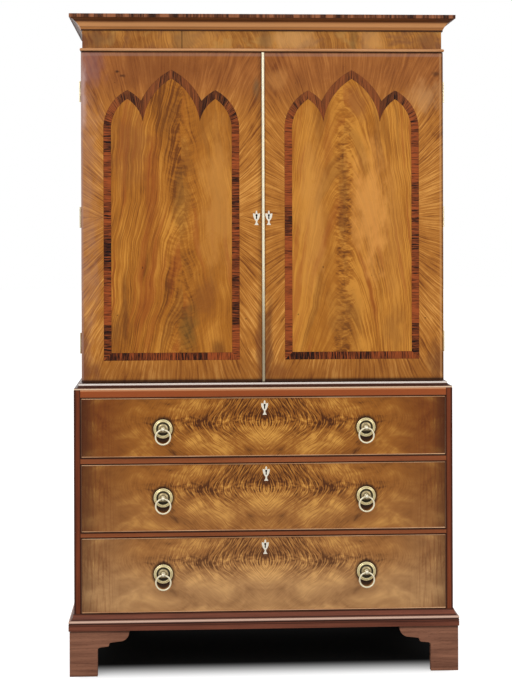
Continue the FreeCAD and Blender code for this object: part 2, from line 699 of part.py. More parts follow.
def escutcheon_outline():
    """An urn: foot, stem, rounded body, shoulders and finial, drawn round from its foot."""
    tall = s.escutcheon_height
    wide = s.escutcheon_half_width
    shoulder = tall - s.urn_shoulder_drop
    right_side = [
        (s.urn_foot, 0),
        (s.urn_foot, s.urn_foot_height),
        (s.urn_stem, s.urn_stem_height, s.urn_foot_radius, "right"),
        (wide, shoulder, s.urn_body_radius, "left"),
        (wide - s.urn_lip_slope, shoulder + s.urn_lip),
        (s.urn_neck, shoulder, s.urn_shoulder_radius, "left"),
        (s.urn_finial, shoulder + s.urn_neck_height),
        (s.urn_finial, tall - s.urn_finial_taper),
        (s.urn_finial_tip, tall),
    ]
    left_side = []
    for index in range(len(right_side) - 1, -1, -1):
        x, y = right_side[index][:2]
        following = right_side[index + 1] if index + 1 < len(right_side) else (0, 0)
        left_side.append((-as_size(x), y, *following[2:]))
    return right_side + left_side


def escutcheon(name, x, face_y, z):
    """A bone urn let in flush with the wood, its back at its full depth."""
    corner = (x, face_y + s.escutcheon_depth, z - s.escutcheon_height / 2)
    return body_pad(name, escutcheon_outline(), s.escutcheon_depth, corner, (1, 0, 0), (0, 0, 1))


def keyhole(name, x, y, z):
    """The cut for a key: a round hole with a slot below it."""
    eye_z = z + s.keyhole_rise
    depth = y[1] - y[0]
    eye = rod(name + "_eye", s.keyhole_radius, depth, (x, y[0], eye_z), "y")
    slot = box(name + "_slot", around(as_size(x), s.keyhole_slot / 2), y, (eye_z - s.keyhole_length, eye_z))
    return fuse(name, [eye, slot])


def build_door(side, hand):
    """A veneered door leaf with its arched banding, escutcheon and hinge leaves."""
    x = (right_door_edge, half_cupboard) if side > 0 else (-half_cupboard, left_door_edge)
    middle_x = seam + side * arch_middle
    y = (door_face, door_back)
    name = f"{hand}_door"
    key_x = door_key_x(side)
    key_z = door_top - s.door_escutcheon_drop
    leaf_y = (door_back - s.hinge_leaf, door_back)
    banding_y = (door_face, door_face + s.band_depth)

    blank = box(name + "_board", x, y, (door_bottom, door_top))
    pocket = cut(name + "_banding_pocket", arch_blank(name + "_pocket_outside", middle_x, 0, banding_y),
                 [arch_blank(name + "_pocket_inside", middle_x, s.band_width, banding_y)])
    cuts = [pocket, escutcheon(name + "_urn_pocket", key_x, door_face, key_z)]
    cuts += leaf_recesses(name + "_recess", side, leaf_y)
    bolt_y = door_lock_bolt_y()
    bolt_half = s.door_bolt_width / 2
    if side > 0:
        case_x = (right_door_edge, right_door_edge + s.door_lock_width)
        case_y = (door_back - s.lock_depth, door_back)
        cuts.append(box(name + "_lock_pocket", case_x, case_y, around(key_z, s.lock_height / 2)))
        cuts.append(keyhole(name + "_leaf_keyhole", key_x, y, key_z))
    else:
        cuts.append(box(name + "_bolt_mortice", (left_door_edge - s.mortice_depth, left_door_edge),
                        (bolt_y[0] - s.bolt_play, bolt_y[1] + s.bolt_play),
                        around(key_z, bolt_half + s.bolt_play)))
    node(name + "_leaf", cut(name + "_leaf_cut", blank, cuts))
    outside = arch_blank(name + "_band_outside", middle_x, 0, banding_y)
    inside = arch_blank(name + "_band_inside", middle_x, s.band_width, banding_y)
    node(name + "_banding", cut(name + "_banding_cut", outside, [inside]))
    urn = escutcheon(name + "_urn_blank", key_x, door_face, key_z)
    hole = keyhole(name + "_urn_keyhole", key_x, (door_face, door_face + s.escutcheon_depth), key_z)
    node(name + "_escutcheon", cut(name + "_urn", urn, [hole]))

    third = s.hinge_length / 3
    middle_knuckle = [(third + s.knuckle_play / 2, third * 2 - s.knuckle_play / 2)]
    leaves = [hinge_leaf(f"{name}_hinge_{index}", side, height, leaf_y, middle_knuckle,
                         s.hinge_pin_radius + s.hinge_pin_play)
              for index, height in enumerate(hinge_heights())]
    node(name + "_hinge_leaves", group(name + "_hinges", leaves))


def door_key_x(side):
    return seam / 2 + side * s.door_escutcheon_x


def door_lock_bolt_y():
    back_of_bolt = door_back - s.lock_depth + s.lock_plate + s.bolt_play + s.bolt_thickness
    return (back_of_bolt - s.bolt_thickness, back_of_bolt)


def build_door_furniture():
    """The brass astragal and the cut lock, both on the right door."""
    rise = s.astragal_rise
    radius = (s.astragal_width * s.astragal_width / 4 + rise * rise) / (rise * 2)
    edge = right_door_edge - s.astragal_lap
    z = (door_bottom, door_top)
    middle_x = edge + s.astragal_width / 2
    bar = rod("astragal_bar", radius, z[1] - z[0], (middle_x, door_face - rise + radius, z[0]), "z")
    proud = box("astragal_proud_part", (edge, edge + s.astragal_width), (door_face - rise, door_face), z)
    node("astragal", common("astragal_strip", [bar, proud]))

    key_x = door_key_x(1)
    key_z = door_top - s.door_escutcheon_drop
    bolt_y = door_lock_bolt_y()
    bolt_z = around(key_z, s.door_bolt_width / 2)
    bolt_start = right_door_edge + s.bolt_play
    case = box("door_lock_block", (right_door_edge, right_door_edge + s.door_lock_width),
               (door_back - s.lock_depth, door_back), around(key_z, s.lock_height / 2))
    channel = box("door_bolt_channel", (right_door_edge, bolt_start + s.bolt_length + s.bolt_play),
                  (bolt_y[0] - s.bolt_play, bolt_y[1] + s.bolt_play),
                  (bolt_z[0] - s.bolt_play, bolt_z[1] + s.bolt_play))
    key = keyhole("door_case_keyhole", key_x, (door_back - s.lock_depth, bolt_y[0] - s.bolt_play), key_z)
    node("door_lock_case", cut("door_lock", case, [channel, key]))
    node("door_lock_bolt", box("door_bolt", (bolt_start, bolt_start + s.bolt_length), bolt_y, bolt_z))


# ---------------------------------------------------------------- chest

def build_chest():
    z = (chest_bottom, chest_top)
    node("chest_sides", group("chest_side_pair", [
        box(f"{hand}_chest_side", span(side, inside_chest, half_chest), (front, back), z)
        for side, hand in ((-1, "left"), (1, "right"))]))
    x = (-inside_chest, inside_chest)
    node("chest_top_and_bottom", group("chest_boards", [
        box("chest_top_board", x, (front + s.rail_depth, inside_back), (chest_top - s.board, chest_top)),
        box("chest_bottom_board", x, (front + s.bottom_rail_depth, inside_back),
            (chest_bottom, chest_bottom + s.board)),
    ]))
    node("chest_back", group("chest_back_boards", upright_boards("chest_back_board", inside_chest, z)))

    rails = [box("bottom_rail", x, (front, front + s.bottom_rail_depth), (chest_bottom, opening_floor[3]))]
    for number, rail_top in ((1, chest_top), (2, opening_floor[1]), (3, opening_floor[2])):
        blank = box(f"rail_board_{number}", x, (front, front + s.rail_depth), (opening_top[number], rail_top))
        bolt_y = drawer_bolt_y()
        mortice = box(f"rail_mortice_{number}", around(drawer_key_x[number], s.bolt_width / 2 + s.bolt_play),
                      (bolt_y[0] - s.bolt_play, bolt_y[1] + s.bolt_play),
                      (opening_top[number], opening_top[number] + s.mortice_depth))
        rails.append(cut(f"rail_{number}", blank, [mortice]))
    node("drawer_rails", group("rails", rails))

    runners = []
    clear = inside_chest - s.runner_width
    for number in (1, 2, 3):
        top = opening_floor[number]
        lowest = number == 3
        start_y = front + (s.bottom_rail_depth if lowest else s.rail_depth)
        bottom = chest_bottom + s.board if lowest else top - s.lower_rail_height
        for side, hand in ((-1, "left"), (1, "right")):
            runners.append(box(f"{hand}_runner_{number}", span(side, clear, inside_chest),
                               (start_y, inside_back), (bottom, top)))
        if not lowest:
            runners.append(box(f"dust_board_{number}", (-clear, clear), (start_y, inside_back),
                               (bottom, bottom + s.dust_board)))
    node("runners_and_dust_boards", group("runners", runners))

    build_waist()
    build_plinth()


def build_waist():
    """The moulding round the chest's top, with the sill under the doors."""
    h = s.waist_height
    w = s.waist_projection
    bead = s.waist_bead_radius
    step = w - bead - s.waist_cove_radius
    step_top = h - s.waist_bevel
    outline = [
        (0, 0),
        (w - bead, 0),
        (w, bead, bead, "left"),
        (w - bead, bead * 2, bead, "left"),
        (step, step_top - s.waist_torus_height, s.waist_cove_radius, "right"),
        (step, step_top, s.waist_torus_radius, "left"),
        (step - s.waist_bevel_run, h),
        (0, h),
    ]
    z = (chest_top, chest_top + h)
    lengths = mitred_moulding("waist_length", outline, w, half_cupboard, door_face, back, z)
    sill = box("door_sill", (-half_cupboard, half_cupboard), (door_face, cupboard_front), z)
    node("waist_moulding", group("waist", lengths + [sill]))


def build_plinth():
    """The moulding round the chest's foot."""
    h = s.bottom_rail_height - s.plinth_reveal
    p = s.plinth_projection
    groove = s.plinth_groove
    groove_z = s.plinth_groove_height
    bead_x = p - s.plinth_bevel_run
    bead_z = s.plinth_fascia + s.plinth_bevel
    outline = [
        (0, 0),
        (p, 0),
        (p, groove_z - groove),
        (p - groove, groove_z),
        (p, groove_z + groove),
        (p, s.plinth_fascia),
        (bead_x, bead_z),
        (bead_x - s.plinth_bead_run, bead_z + s.plinth_bead_height, s.plinth_bead_radius, "left"),
        (bead_x - s.plinth_bead_run - s.plinth_bevel_run, bead_z + s.plinth_bead_height),
        (s.plinth_top, h - s.plinth_top_edge, s.plinth_cavetto_radius, "right"),
        (s.plinth_top, h),
        (0, h),
    ]
    z = (chest_bottom, chest_bottom + h)
    node("plinth_moulding", group("plinth", mitred_moulding(
        "plinth_length", outline, p, half_chest, front, back, z)))


def bracket_outline():
    """A bracket foot from its corner (0) to the end of its wing, floor to chest."""
    top, tip, leg = s.foot_height, s.foot_length, s.foot_leg
    hollow, ogee, sweep = s.foot_hollow, s.foot_ogee, s.foot_sweep
    straight = tip - leg - hollow - ogee * 2 - sweep
    first = straight * s.foot_first_part
    ogee_x = leg + hollow + first
    sweep_z = top - s.foot_wing_tip - sweep
    ogee_z = sweep_z - (straight - first) * s.foot_wing_slope
    hollow_z = ogee_z - ogee * 2 - first * s.foot_wing_slope
    return [
        (0, 0),
        (leg, 0),
        (leg, hollow_z - hollow),
        (leg + hollow, hollow_z, hollow, "right"),
        (ogee_x, ogee_z - ogee * 2),
        (ogee_x + ogee, ogee_z - ogee, ogee, "left"),
        (ogee_x + ogee * 2, ogee_z, ogee, "right"),
        (tip - sweep, sweep_z),
        (tip, top - s.foot_wing_tip, sweep, "left"),
        (tip, top),
        (0, top),
    ]


def build_foot(name, side, end_y, inwards):
    """Two brackets and a glue block at one corner; inwards is +1 at the front, -1 at the back."""
    t = s.foot_board
    outside = half_chest + s.foot_projection
    inside = outside - t
    z = (0, s.foot_height)
    long_bracket = foot_bracket(name + "_long_bracket", (side * outside, end_y), (0, inwards, 0),
                                (-side, 0, 0))
    if inwards > 0:
        other = foot_bracket(name + "_face_bracket", (side * outside, end_y), (-side, 0, 0), (0, 1, 0))
        kept_y = (end_y + t, end_y + s.foot_length)
        block_y = (end_y + t, end_y + t + s.glue_block)
    else:
        other_x = span(side, outside - s.foot_length, inside)
        other = box(name + "_back_bracket", other_x, (end_y - t, end_y), z)
        kept_y = (end_y - s.foot_length, end_y)
        block_y = (end_y - t - s.glue_block, end_y - t)
    kept = box(name + "_side_part", span(side, inside, outside), kept_y, z)
    return [
        other,
        common(name + "_side_bracket", [long_bracket, kept]),
        box(name + "_glue_block", span(side, inside - s.glue_block, inside), block_y, z),
    ]


def foot_bracket(name, corner, along, through):
    """One fretted bracket, its outline running along one way and its thickness another."""
    sketch = doc.addObject("Sketcher::SketchObject", name + "_outline")
    turn(sketch, along, (0, 0, 1))
    place(sketch, corner[0], corner[1], 0)
    draw_outline(sketch, bracket_outline())
    plate = doc.addObject("Part::Extrusion", name)
    plate.Base = sketch
    plate.DirMode = "Custom"
    plate.Dir = FreeCAD.Vector(*through)
    plate.Solid = True
    bind(plate, "LengthFwd", s.foot_board)
    return plate


def build_feet():
    foot_front = front - s.foot_projection
    for label, end_y, inwards in (("front_feet", foot_front, 1), ("back_feet", back, -1)):
        pieces = []
        for side, hand in ((-1, "left"), (1, "right")):
            pieces += build_foot(f"{label}_{hand}", side, end_y, inwards)
        node(label, group(label + "_pair", pieces))


# ---------------------------------------------------------------- drawers

def drawer_bolt_y():
    """A drawer lock's bolt, front to back, behind the case's front plate."""
    case_front = front + s.drawer_front - s.lock_depth
    bolt_front = case_front + s.lock_plate + s.bolt_play
    return (bolt_front, bolt_front + s.bolt_thickness)


def dovetails(name, side, count, low, high, outside):
    """The tails on the front end of a drawer side, widest where they end."""
    pitch = (high - low) / count
    half = pitch * s.dovetail_share / 2
    x = span(side, outside - s.drawer_side, outside)
    back_of_front = front + s.drawer_front
    tails = []
    for index in range(count):
        middle = low + pitch * (index + 0.5)
        wide = around(middle, half)
        narrow = around(middle, half - s.dovetail_slope)
        tail = doc.addObject("Part::Wedge", f"{name}_{index}")
        for prop, size in (("Xmin", x[0]), ("Xmax", x[1]), ("X2min", x[0]), ("X2max", x[1]),
                           ("Ymin", back_of_front - s.dovetail_length), ("Ymax", back_of_front),
                           ("Zmin", wide[0]), ("Zmax", wide[1]),
                           ("Z2min", narrow[0]), ("Z2max", narrow[1])):
            bind(tail, prop, size)
        tails.append(tail)
    return tails


def build_drawer(number):
    name = f"drawer_{number}"
    low = opening_floor[number] + s.drawer_gap
    high = opening_top[number] - s.drawer_gap
    half = inside_chest - s.drawer_gap
    bead = s.cockbead
    board_half = half - bead
    board_back = front + s.drawer_front
    board_z = (low + bead, high - bead)
    side_z = (low, opening_top[number] - s.drawer_side_drop)
    box_back = inside_back - s.drawer_back_room
    key_x = drawer_key_x[number]
    key_z = opening_top[number] - s.drawer_escutcheon_drop
    bolt_y = drawer_bolt_y()
    bolt_half = s.bolt_width / 2
    bolt_top = high - s.bolt_play
    bolt_slot_y = (bolt_y[0] - s.bolt_play, bolt_y[1] + s.bolt_play)
    bolt_slot_x = around(key_x, bolt_half + s.bolt_play)
    case_y = (board_back - s.lock_depth, board_back)
    case_z = (board_z[1] - s.lock_height, board_z[1])
    tail_z = (board_z[0] + s.dovetail_slope, side_z[1] - s.dovetail_slope)

    def tails(purpose, side):
        return dovetails(f"{name}_{purpose}_{'left' if side < 0 else 'right'}_tail", side,
                         DOVETAILS[number], *tail_z, board_half)

    blank = box(name + "_front_board", (-board_half, board_half), (front, board_back), board_z)
    cuts = tails("socket", -1) + tails("socket", 1)
    cuts.append(escutcheon(name + "_urn_pocket", key_x, front, key_z))
    cuts.append(box(name + "_lock_pocket", around(key_x, s.lock_width / 2), case_y, case_z))
    cuts.append(keyhole(name + "_front_keyhole", key_x, (front, board_back), key_z))
    node(name + "_front", cut(name + "_front_cut", blank, cuts))

    bead_y = (front - s.cockbead_proud, board_back)
    top_strip = box(name + "_top_bead_strip", (-half, half), bead_y, (board_z[1], high))
    bolt_slot = box(name + "_bead_slot", bolt_slot_x, bolt_slot_y, (board_z[1], high))
    top_bead = cut(name + "_top_bead", top_strip, [bolt_slot])
    node(name + "_cockbead", group(name + "_beads", [
        top_bead,
        box(name + "_bottom_bead", (-half, half), bead_y, (low, board_z[0])),
        box(name + "_left_bead", (-half, -board_half), bead_y, board_z),
        box(name + "_right_bead", (board_half, half), bead_y, board_z),
    ]))

    t = s.drawer_side
    inner = board_half - t
    floor_z = (low + s.bottom_groove, low + s.bottom_groove + s.drawer_bottom)
    sides = [fuse(f"{name}_{hand}_side", [
        box(f"{name}_{hand}_side_board", span(side, inner, board_half), (board_back, box_back), side_z)]
        + tails("side", side)) for side, hand in ((-1, "left"), (1, "right"))]
    node(name + "_sides_and_bottom", group(name + "_carcase", sides + [
        box(name + "_back", (-inner, inner), (box_back - t, box_back), (floor_z[1], side_z[1])),
        box(name + "_bottom", (-inner, inner), (board_back, box_back), floor_z),
    ]))

    urn = escutcheon(name + "_urn_blank", key_x, front, key_z)
    hole = keyhole(name + "_urn_keyhole", key_x, (front, front + s.escutcheon_depth), key_z)
    node(name + "_escutcheon", cut(name + "_urn", urn, [hole]))

    block = box(name + "_lock_block", around(key_x, s.lock_width / 2), case_y, case_z)
    channel_bottom = bolt_top - s.bolt_length - s.bolt_play
    channel = box(name + "_bolt_channel", bolt_slot_x, bolt_slot_y, (channel_bottom, board_z[1]))
    key = keyhole(name + "_case_keyhole", key_x, (case_y[0], bolt_slot_y[0]), key_z)
    node(name + "_lock_case", cut(name + "_lock", block, [channel, key]))
    node(name + "_lock_bolt", box(name + "_bolt", around(key_x, bolt_half), bolt_y,
                                  (bolt_top - s.bolt_length, bolt_top)))
    build_handles(number)


def plate_outline():
    """Half the section of a backplate with its stem and knob: (radius, height off the drawer)."""
    stand, knob, stem = s.knob_standoff, s.knob_radius, s.stem_radius
    rim = s.plate_radius
    groove = s.plate_groove
    groove_x = rim - s.plate_rim - groove
    boss = s.plate_boss_height
    return [
        (0, 0),
        (rim, 0),
        (rim, s.plate_edge),
        (rim - s.plate_rim, s.plate_rim_height, s.plate_rim_radius, "left"),
        (groove_x, groove),
        (groove_x - groove, groove),
        (groove_x - groove * 2, s.plate_boss_edge),
        (stem + s.stem_flare, boss, s.plate_boss_radius, "left"),
        (stem, boss + s.stem_flare_height, s.stem_flare_radius, "right"),
        (stem, stand - (knob * knob - stem * stem).root()),
        (knob, stand, knob, "left"),
        (0, stand + knob, knob, "left"),
    ]


def handle_height(number):
    return (opening_floor[number] + opening_top[number]) / 2 - handle_drop[number]


def build_handles(number):
    """Two dished plates, each with a knob, and the ring that hangs through it."""
    plates = []
    for side, hand in ((-1, "left"), (1, "right")):
        name = f"drawer_{number}_{hand}"
        x = side * s.handle_spacing / 2 + s.handle_shift
        z = handle_height(number)
        ring_y = front - s.knob_standoff
        ring_z = z - s.ring_hole_drop
        reach = s.knob_radius
        plate = body_turned(name + "_plate_blank", plate_outline(), (x, front, z))
        hole = rod(name + "_ring_hole", ring_hole_radius, reach * 2, (x - reach, ring_y, ring_z), "x")
        plates.append(cut(name + "_plate", plate, [hole]))
        ring = doc.addObject("Part::Torus", name + "_ring_wire")
        turn(ring, (1, 0, 0), (0, 0, 1))
        bind(ring, "Radius1", s.ring_radius)
        bind(ring, "Radius2", s.ring_wire_radius)
        place(ring, x, ring_y, ring_z + ring_bend / 2 - s.ring_radius)
        node(name + "_ring", ring)
    node(f"drawer_{number}_handle_plates", group(f"drawer_{number}_plates", plates))


# ---------------------------------------------------------------- build, test, write

def write_step_files():
    faults = [item.Name for item in doc.Objects if {"Invalid", "Error"} & set(item.State)]
    faults += [item.Label for item in NODES if item.Shape.isNull() or not item.Shape.isValid()]
    if faults:
        raise RuntimeError("these did not build: " + ", ".join(faults))
    os.makedirs("parts", exist_ok=True)
    for item in NODES:
        item.Shape.exportStep(f"parts/{item.Label}.step")
    print(len(NODES), "nodes,", sum(len(item.Shape.Solids) for item in NODES), "solids")


build_cornice()
build_cupboard()
for tray_number in range(TRAY_COUNT):
    build_tray(tray_number)
build_door(-1, "left")
build_door(1, "right")
build_door_furniture()
build_chest()
build_feet()
for drawer_number in (1, 2, 3):
    build_drawer(drawer_number)
doc.recompute()
write_step_files()
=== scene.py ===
import contextlib
import json
import math

import bmesh
import bpy
import numpy as np
from bpy.props import FloatProperty, FloatVectorProperty, PointerProperty
from bpy.types import Operator, Panel, PropertyGroup
from mathutils import Euler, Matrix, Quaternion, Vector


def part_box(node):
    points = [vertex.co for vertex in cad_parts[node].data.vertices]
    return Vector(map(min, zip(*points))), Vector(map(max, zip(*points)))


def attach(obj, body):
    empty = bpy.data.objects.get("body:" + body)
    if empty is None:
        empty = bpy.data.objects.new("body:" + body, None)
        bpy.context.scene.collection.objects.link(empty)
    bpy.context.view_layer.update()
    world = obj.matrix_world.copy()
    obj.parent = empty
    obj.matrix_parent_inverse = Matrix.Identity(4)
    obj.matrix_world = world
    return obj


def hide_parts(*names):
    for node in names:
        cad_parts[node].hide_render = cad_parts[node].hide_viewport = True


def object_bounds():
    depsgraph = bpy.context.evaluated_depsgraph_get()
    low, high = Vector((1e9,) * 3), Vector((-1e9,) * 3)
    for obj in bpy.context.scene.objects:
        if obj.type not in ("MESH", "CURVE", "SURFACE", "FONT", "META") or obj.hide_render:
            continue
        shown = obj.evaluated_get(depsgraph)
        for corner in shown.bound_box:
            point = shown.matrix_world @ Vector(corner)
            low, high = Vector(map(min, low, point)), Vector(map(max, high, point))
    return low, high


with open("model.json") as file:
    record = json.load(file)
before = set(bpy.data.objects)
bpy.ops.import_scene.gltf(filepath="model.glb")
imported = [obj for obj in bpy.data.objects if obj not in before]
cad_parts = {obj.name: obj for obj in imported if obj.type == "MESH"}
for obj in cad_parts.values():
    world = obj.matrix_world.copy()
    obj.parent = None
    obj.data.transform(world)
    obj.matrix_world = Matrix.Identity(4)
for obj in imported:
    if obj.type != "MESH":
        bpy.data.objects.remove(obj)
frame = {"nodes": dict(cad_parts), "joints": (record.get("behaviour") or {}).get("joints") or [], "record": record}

bl_info = {
    "name": "Linen Press",
    "version": (1, 0, 0),
    "blender": (4, 5, 0),
    "location": "View3D > Sidebar > Linen Press",
    "description": "Veneered linen press: arched doors, flame drawers, ring handles and linen trays",
    "category": "Object",
}

CAD_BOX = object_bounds()
RECORD = frame["record"]
BODY_OF = {node: body for body, members in RECORD["behaviour"]["bodies"].items() for node in members}
JOINTS = {joint["name"]: joint for joint in frame["joints"]}

HANDS = (("left", -1), ("right", 1))
DRAWERS = (1, 2, 3)
TRAYS = (1, 2, 3, 4)
BOARD = "board"              # attribute: metres along a board's grain, across it and through it
WELD = 1e-6                  # metres: corners closer than this are one corner
FRONTAL = 0.9                # a face whose normal leans this much to the front is a front face
DEEPEST_POCKET = 0.003       # metres: how far in the floor of a pocket for inlay can lie
SOFTBOX = 2.4                # metres: the sides of both softboxes
FLAT_WITHIN = math.radians(0.4)        # faces closer than this in angle are one face
SMOOTH_WITHIN = math.radians(32)       # edges flatter than this are shaded smooth
EASED_FROM = math.radians(38)          # edges sharper than this get a bevel


def shade(red, green, blue):
    """A colour given as 0 to 255 screen values, as the linear values that shaders use."""
    screen = np.array([red, green, blue]) / 255
    linear = np.where(screen <= 0.04045, screen / 12.92, ((screen + 0.055) / 1.055) ** 2.4)
    return tuple(float(value) for value in linear)


def size(name, metres, description):
    return FloatProperty(name=name, description=description, default=metres, min=0, unit="LENGTH",
                         precision=5)


def share(name, amount, description, top=1):
    return FloatProperty(name=name, description=description, default=amount, min=0, max=top)


def position(name, metres, description):
    return FloatProperty(name=name, description=description, default=metres, unit="LENGTH")


def rotation(name, radians, description):
    return FloatProperty(name=name, description=description, default=radians, unit="ROTATION")


def colour(name, red, green, blue, description):
    return FloatVectorProperty(name=name, description=description, subtype="COLOR", size=3,
                               min=0, max=1, default=shade(red, green, blue))


# ------------------------------------------------------------------ what a user may change

class PressSizes(PropertyGroup):
    easing: size("Eased edges", 0.0006, "Rounding of the board edges")
    inlay_easing: size("Veneer joints", 0.00025, "Bevel along the joints of veneer and inlay")
    band_width: size("Banding", 0.0233, "Width of the door banding")
    band_proud: size("Banding lift", 0.00012, "Banding, out from the door")
    middle_half: size("Middle arch", 0.112, "Half the middle arch's width where it springs")
    middle_radius: size("Middle radius", 0.2023, "Radius of the middle arch")
    side_radius: size("Side radius", 0.1327, "Radius of the side arches")
    arch_overlap: size("Arch overlap", 0.0503, "How far a side arch runs under the middle one")
    spring_drop: size("Spring", 0.2355, "Top of the door to where the arches spring")
    knob_radius: size("Knob", 0.0065, "Radius of a handle's knob")
    knob_standoff: size("Knob reach", 0.0135, "Drawer front to the middle of the knob")
    plate_radius: size("Backplate", 0.0292, "Radius of a handle's backplate")
    ring_play: size("Ring play", 0.00015, "Play between a ring and the hole through its knob")
    ring_hole_drop: size("Hole drop", 0.0015, "Middle of the knob to the ring's hole")
    screw_radius: size("Screws", 0.0036, "Radius of the screw heads")


class PressColours(PropertyGroup):
    field_light: colour("Field light", 214, 144, 56, "Light streaks inside the door arches")
    field_mid: colour("Field", 174, 106, 32, "Body colour inside the door arches")
    field_dark: colour("Field dark", 116, 62, 18, "Dark streaks inside the door arches")
    border_light: colour("Border light", 228, 160, 78, "Light streaks outside the arches")
    border_mid: colour("Border", 184, 116, 44, "Body colour outside the arches")
    border_dark: colour("Border dark", 126, 68, 22, "Dark streaks outside the arches")
    drawer_light: colour("Drawer light", 222, 158, 70, "Light flames of the drawer fronts")
    drawer_mid: colour("Drawer", 160, 96, 32, "Body colour of the drawer fronts")
    drawer_dark: colour("Drawer dark", 82, 40, 12, "Dark flames of the drawer fronts")
    band_light: colour("Banding light", 166, 80, 34, "Light streaks of the banding")
    band_dark: colour("Banding dark", 22, 6, 3, "Dark streaks of the banding")
    carcase_light: colour("Carcase light", 138, 66, 34, "Straight-grained carcase wood, light")
    carcase_dark: colour("Carcase dark", 88, 36, 16, "Straight-grained carcase wood, dark")
    frieze_light: colour("Frieze light", 196, 132, 58, "Veneer of the frieze, light")
    frieze_dark: colour("Frieze dark", 138, 80, 28, "Veneer of the frieze, dark")
    foot_light: colour("Foot light", 164, 112, 86, "Worn wood of the feet, light")
    foot_dark: colour("Foot dark", 104, 64, 48, "Worn wood of the feet, dark")
    lining_light: colour("Lining light", 196, 160, 112, "Oak of trays and drawers, light")
    lining_dark: colour("Lining dark", 148, 112, 70, "Oak of trays and drawers, dark")
    back_light: colour("Back light", 146, 112, 78, "Pine of the back, light")
    back_dark: colour("Back dark", 92, 64, 42, "Pine of the back, dark")
    brass: colour("Brass", 255, 238, 182, "Polished brass")
    brass_dull: colour("Dull brass", 216, 184, 118, "Brass in the hollows")
    bone: colour("Bone", 255, 253, 247, "Bone of the keyhole plates")
    steel: colour("Steel", 122, 116, 108, "Locks and screws")


def sizes():
    return bpy.context.scene.press_sizes


def colours():
    return bpy.context.scene.press_colours


# ------------------------------------------------------------------ building node trees

class Value:
    """A number, vector or colour in a node tree that sums can be done with. A comparison gives
    1 where it holds and 0 elsewhere."""

    def __init__(self, web, socket):
        self.web = web
        self.socket = socket

    def __add__(self, other):
        return self.web.math("ADD", self, other)

    def __sub__(self, other):
        return self.web.math("SUBTRACT", self, other)

    def __rsub__(self, other):
        return self.web.math("SUBTRACT", other, self)

    def __mul__(self, other):
        return self.web.math("MULTIPLY", self, other)

    def __rtruediv__(self, other):
        return self.web.math("DIVIDE", other, self)

    def __lt__(self, other):
        return self.web.math("LESS_THAN", self, other)

    def __gt__(self, other):
        return self.web.math("GREATER_THAN", self, other)

    def __abs__(self):
        return self.web.math("ABSOLUTE", self)

    def length(self):
        return self.web.value("ShaderNodeVectorMath", {0: self}, "Value", operation="LENGTH")

    def parts(self):
        return self.web.values(self.web.node("ShaderNodeSeparateXYZ", {0: self}))

    def spread(self, low, high, to_low=0.0, to_high=1.0):
        """Maps low..high smoothly to to_low..to_high and holds the ends."""
        return self.web.value("ShaderNodeMapRange", {0: self, 1: low, 2: high, 3: to_low, 4: to_high},
                              interpolation_type="SMOOTHSTEP")

    def stained(self, amount, tint):
        """This colour turned by amount towards a tint, given as 0 to 255 screen values."""
        return self.web.blend(amount, self, shade(*tint))


class Web:
    """A node tree, with a short call for each kind of node that it uses often."""

    def __init__(self, tree):
        self.tree = tree

    def node(self, kind, inputs=(), **settings):
        made = self.tree.nodes.new(kind)
        for key, value in settings.items():
            setattr(made, key, value)
        for key, value in dict(inputs).items():
            self.feed(made.inputs[key], value)
        return made

    def value(self, kind, inputs=(), output=0, **settings):
        return Value(self, self.node(kind, inputs, **settings).outputs[output])

    def values(self, node):
        return [Value(self, socket) for socket in node.outputs]

    def feed(self, socket, value):
        """Links or sets a socket. A tuple with values in it becomes a vector first."""
        if isinstance(value, tuple) and any(isinstance(part, Value) for part in value):
            value = self.value("ShaderNodeCombineXYZ", enumerate(value))
        if isinstance(value, Value):
            self.tree.links.new(value.socket, socket)
        elif socket.type == "RGBA":
            socket.default_value = (*value[:3], 1)
        else:
            socket.default_value = value

    def math(self, operation, *values):
        vector = any(isinstance(value, Value) and value.socket.type == "VECTOR" for value in values)
        return self.value("ShaderNodeVectorMath" if vector else "ShaderNodeMath", enumerate(values),
                          operation=operation)

    def noise(self, vector, scale=1.0, detail=2.0, roughness=0.5, distortion=0.0):
        return self.value("ShaderNodeTexNoise", {"Vector": vector, "Scale": scale, "Detail": detail,
                                                 "Roughness": roughness, "Distortion": distortion})

    def blend(self, factor, first, second):
        return self.value("ShaderNodeMix", {0: factor, 6: first, 7: second}, 2, data_type="RGBA")

    def grey(self, value):
        return self.value("ShaderNodeCombineColor", enumerate([value] * 3))

    def camera_sees(self):
        return self.value("ShaderNodeLightPath", output="Is Camera Ray")

    def place(self, location=(0, 0, 0)):
        """The piece's own coordinates, in metres from the given place."""
        return self.value("ShaderNodeTexCoord", output="Object") - location

    def board(self):
        return self.value("ShaderNodeAttribute", output="Vector", attribute_name=BOARD)

    def group(self, name, **inputs):
        """Places a shared group; underscores in the inputs' names stand for spaces."""
        inputs = {key.replace("_", " ").title(): value for key, value in inputs.items()}
        return self.values(self.node("ShaderNodeGroup", inputs, node_tree=shared_group(name)))


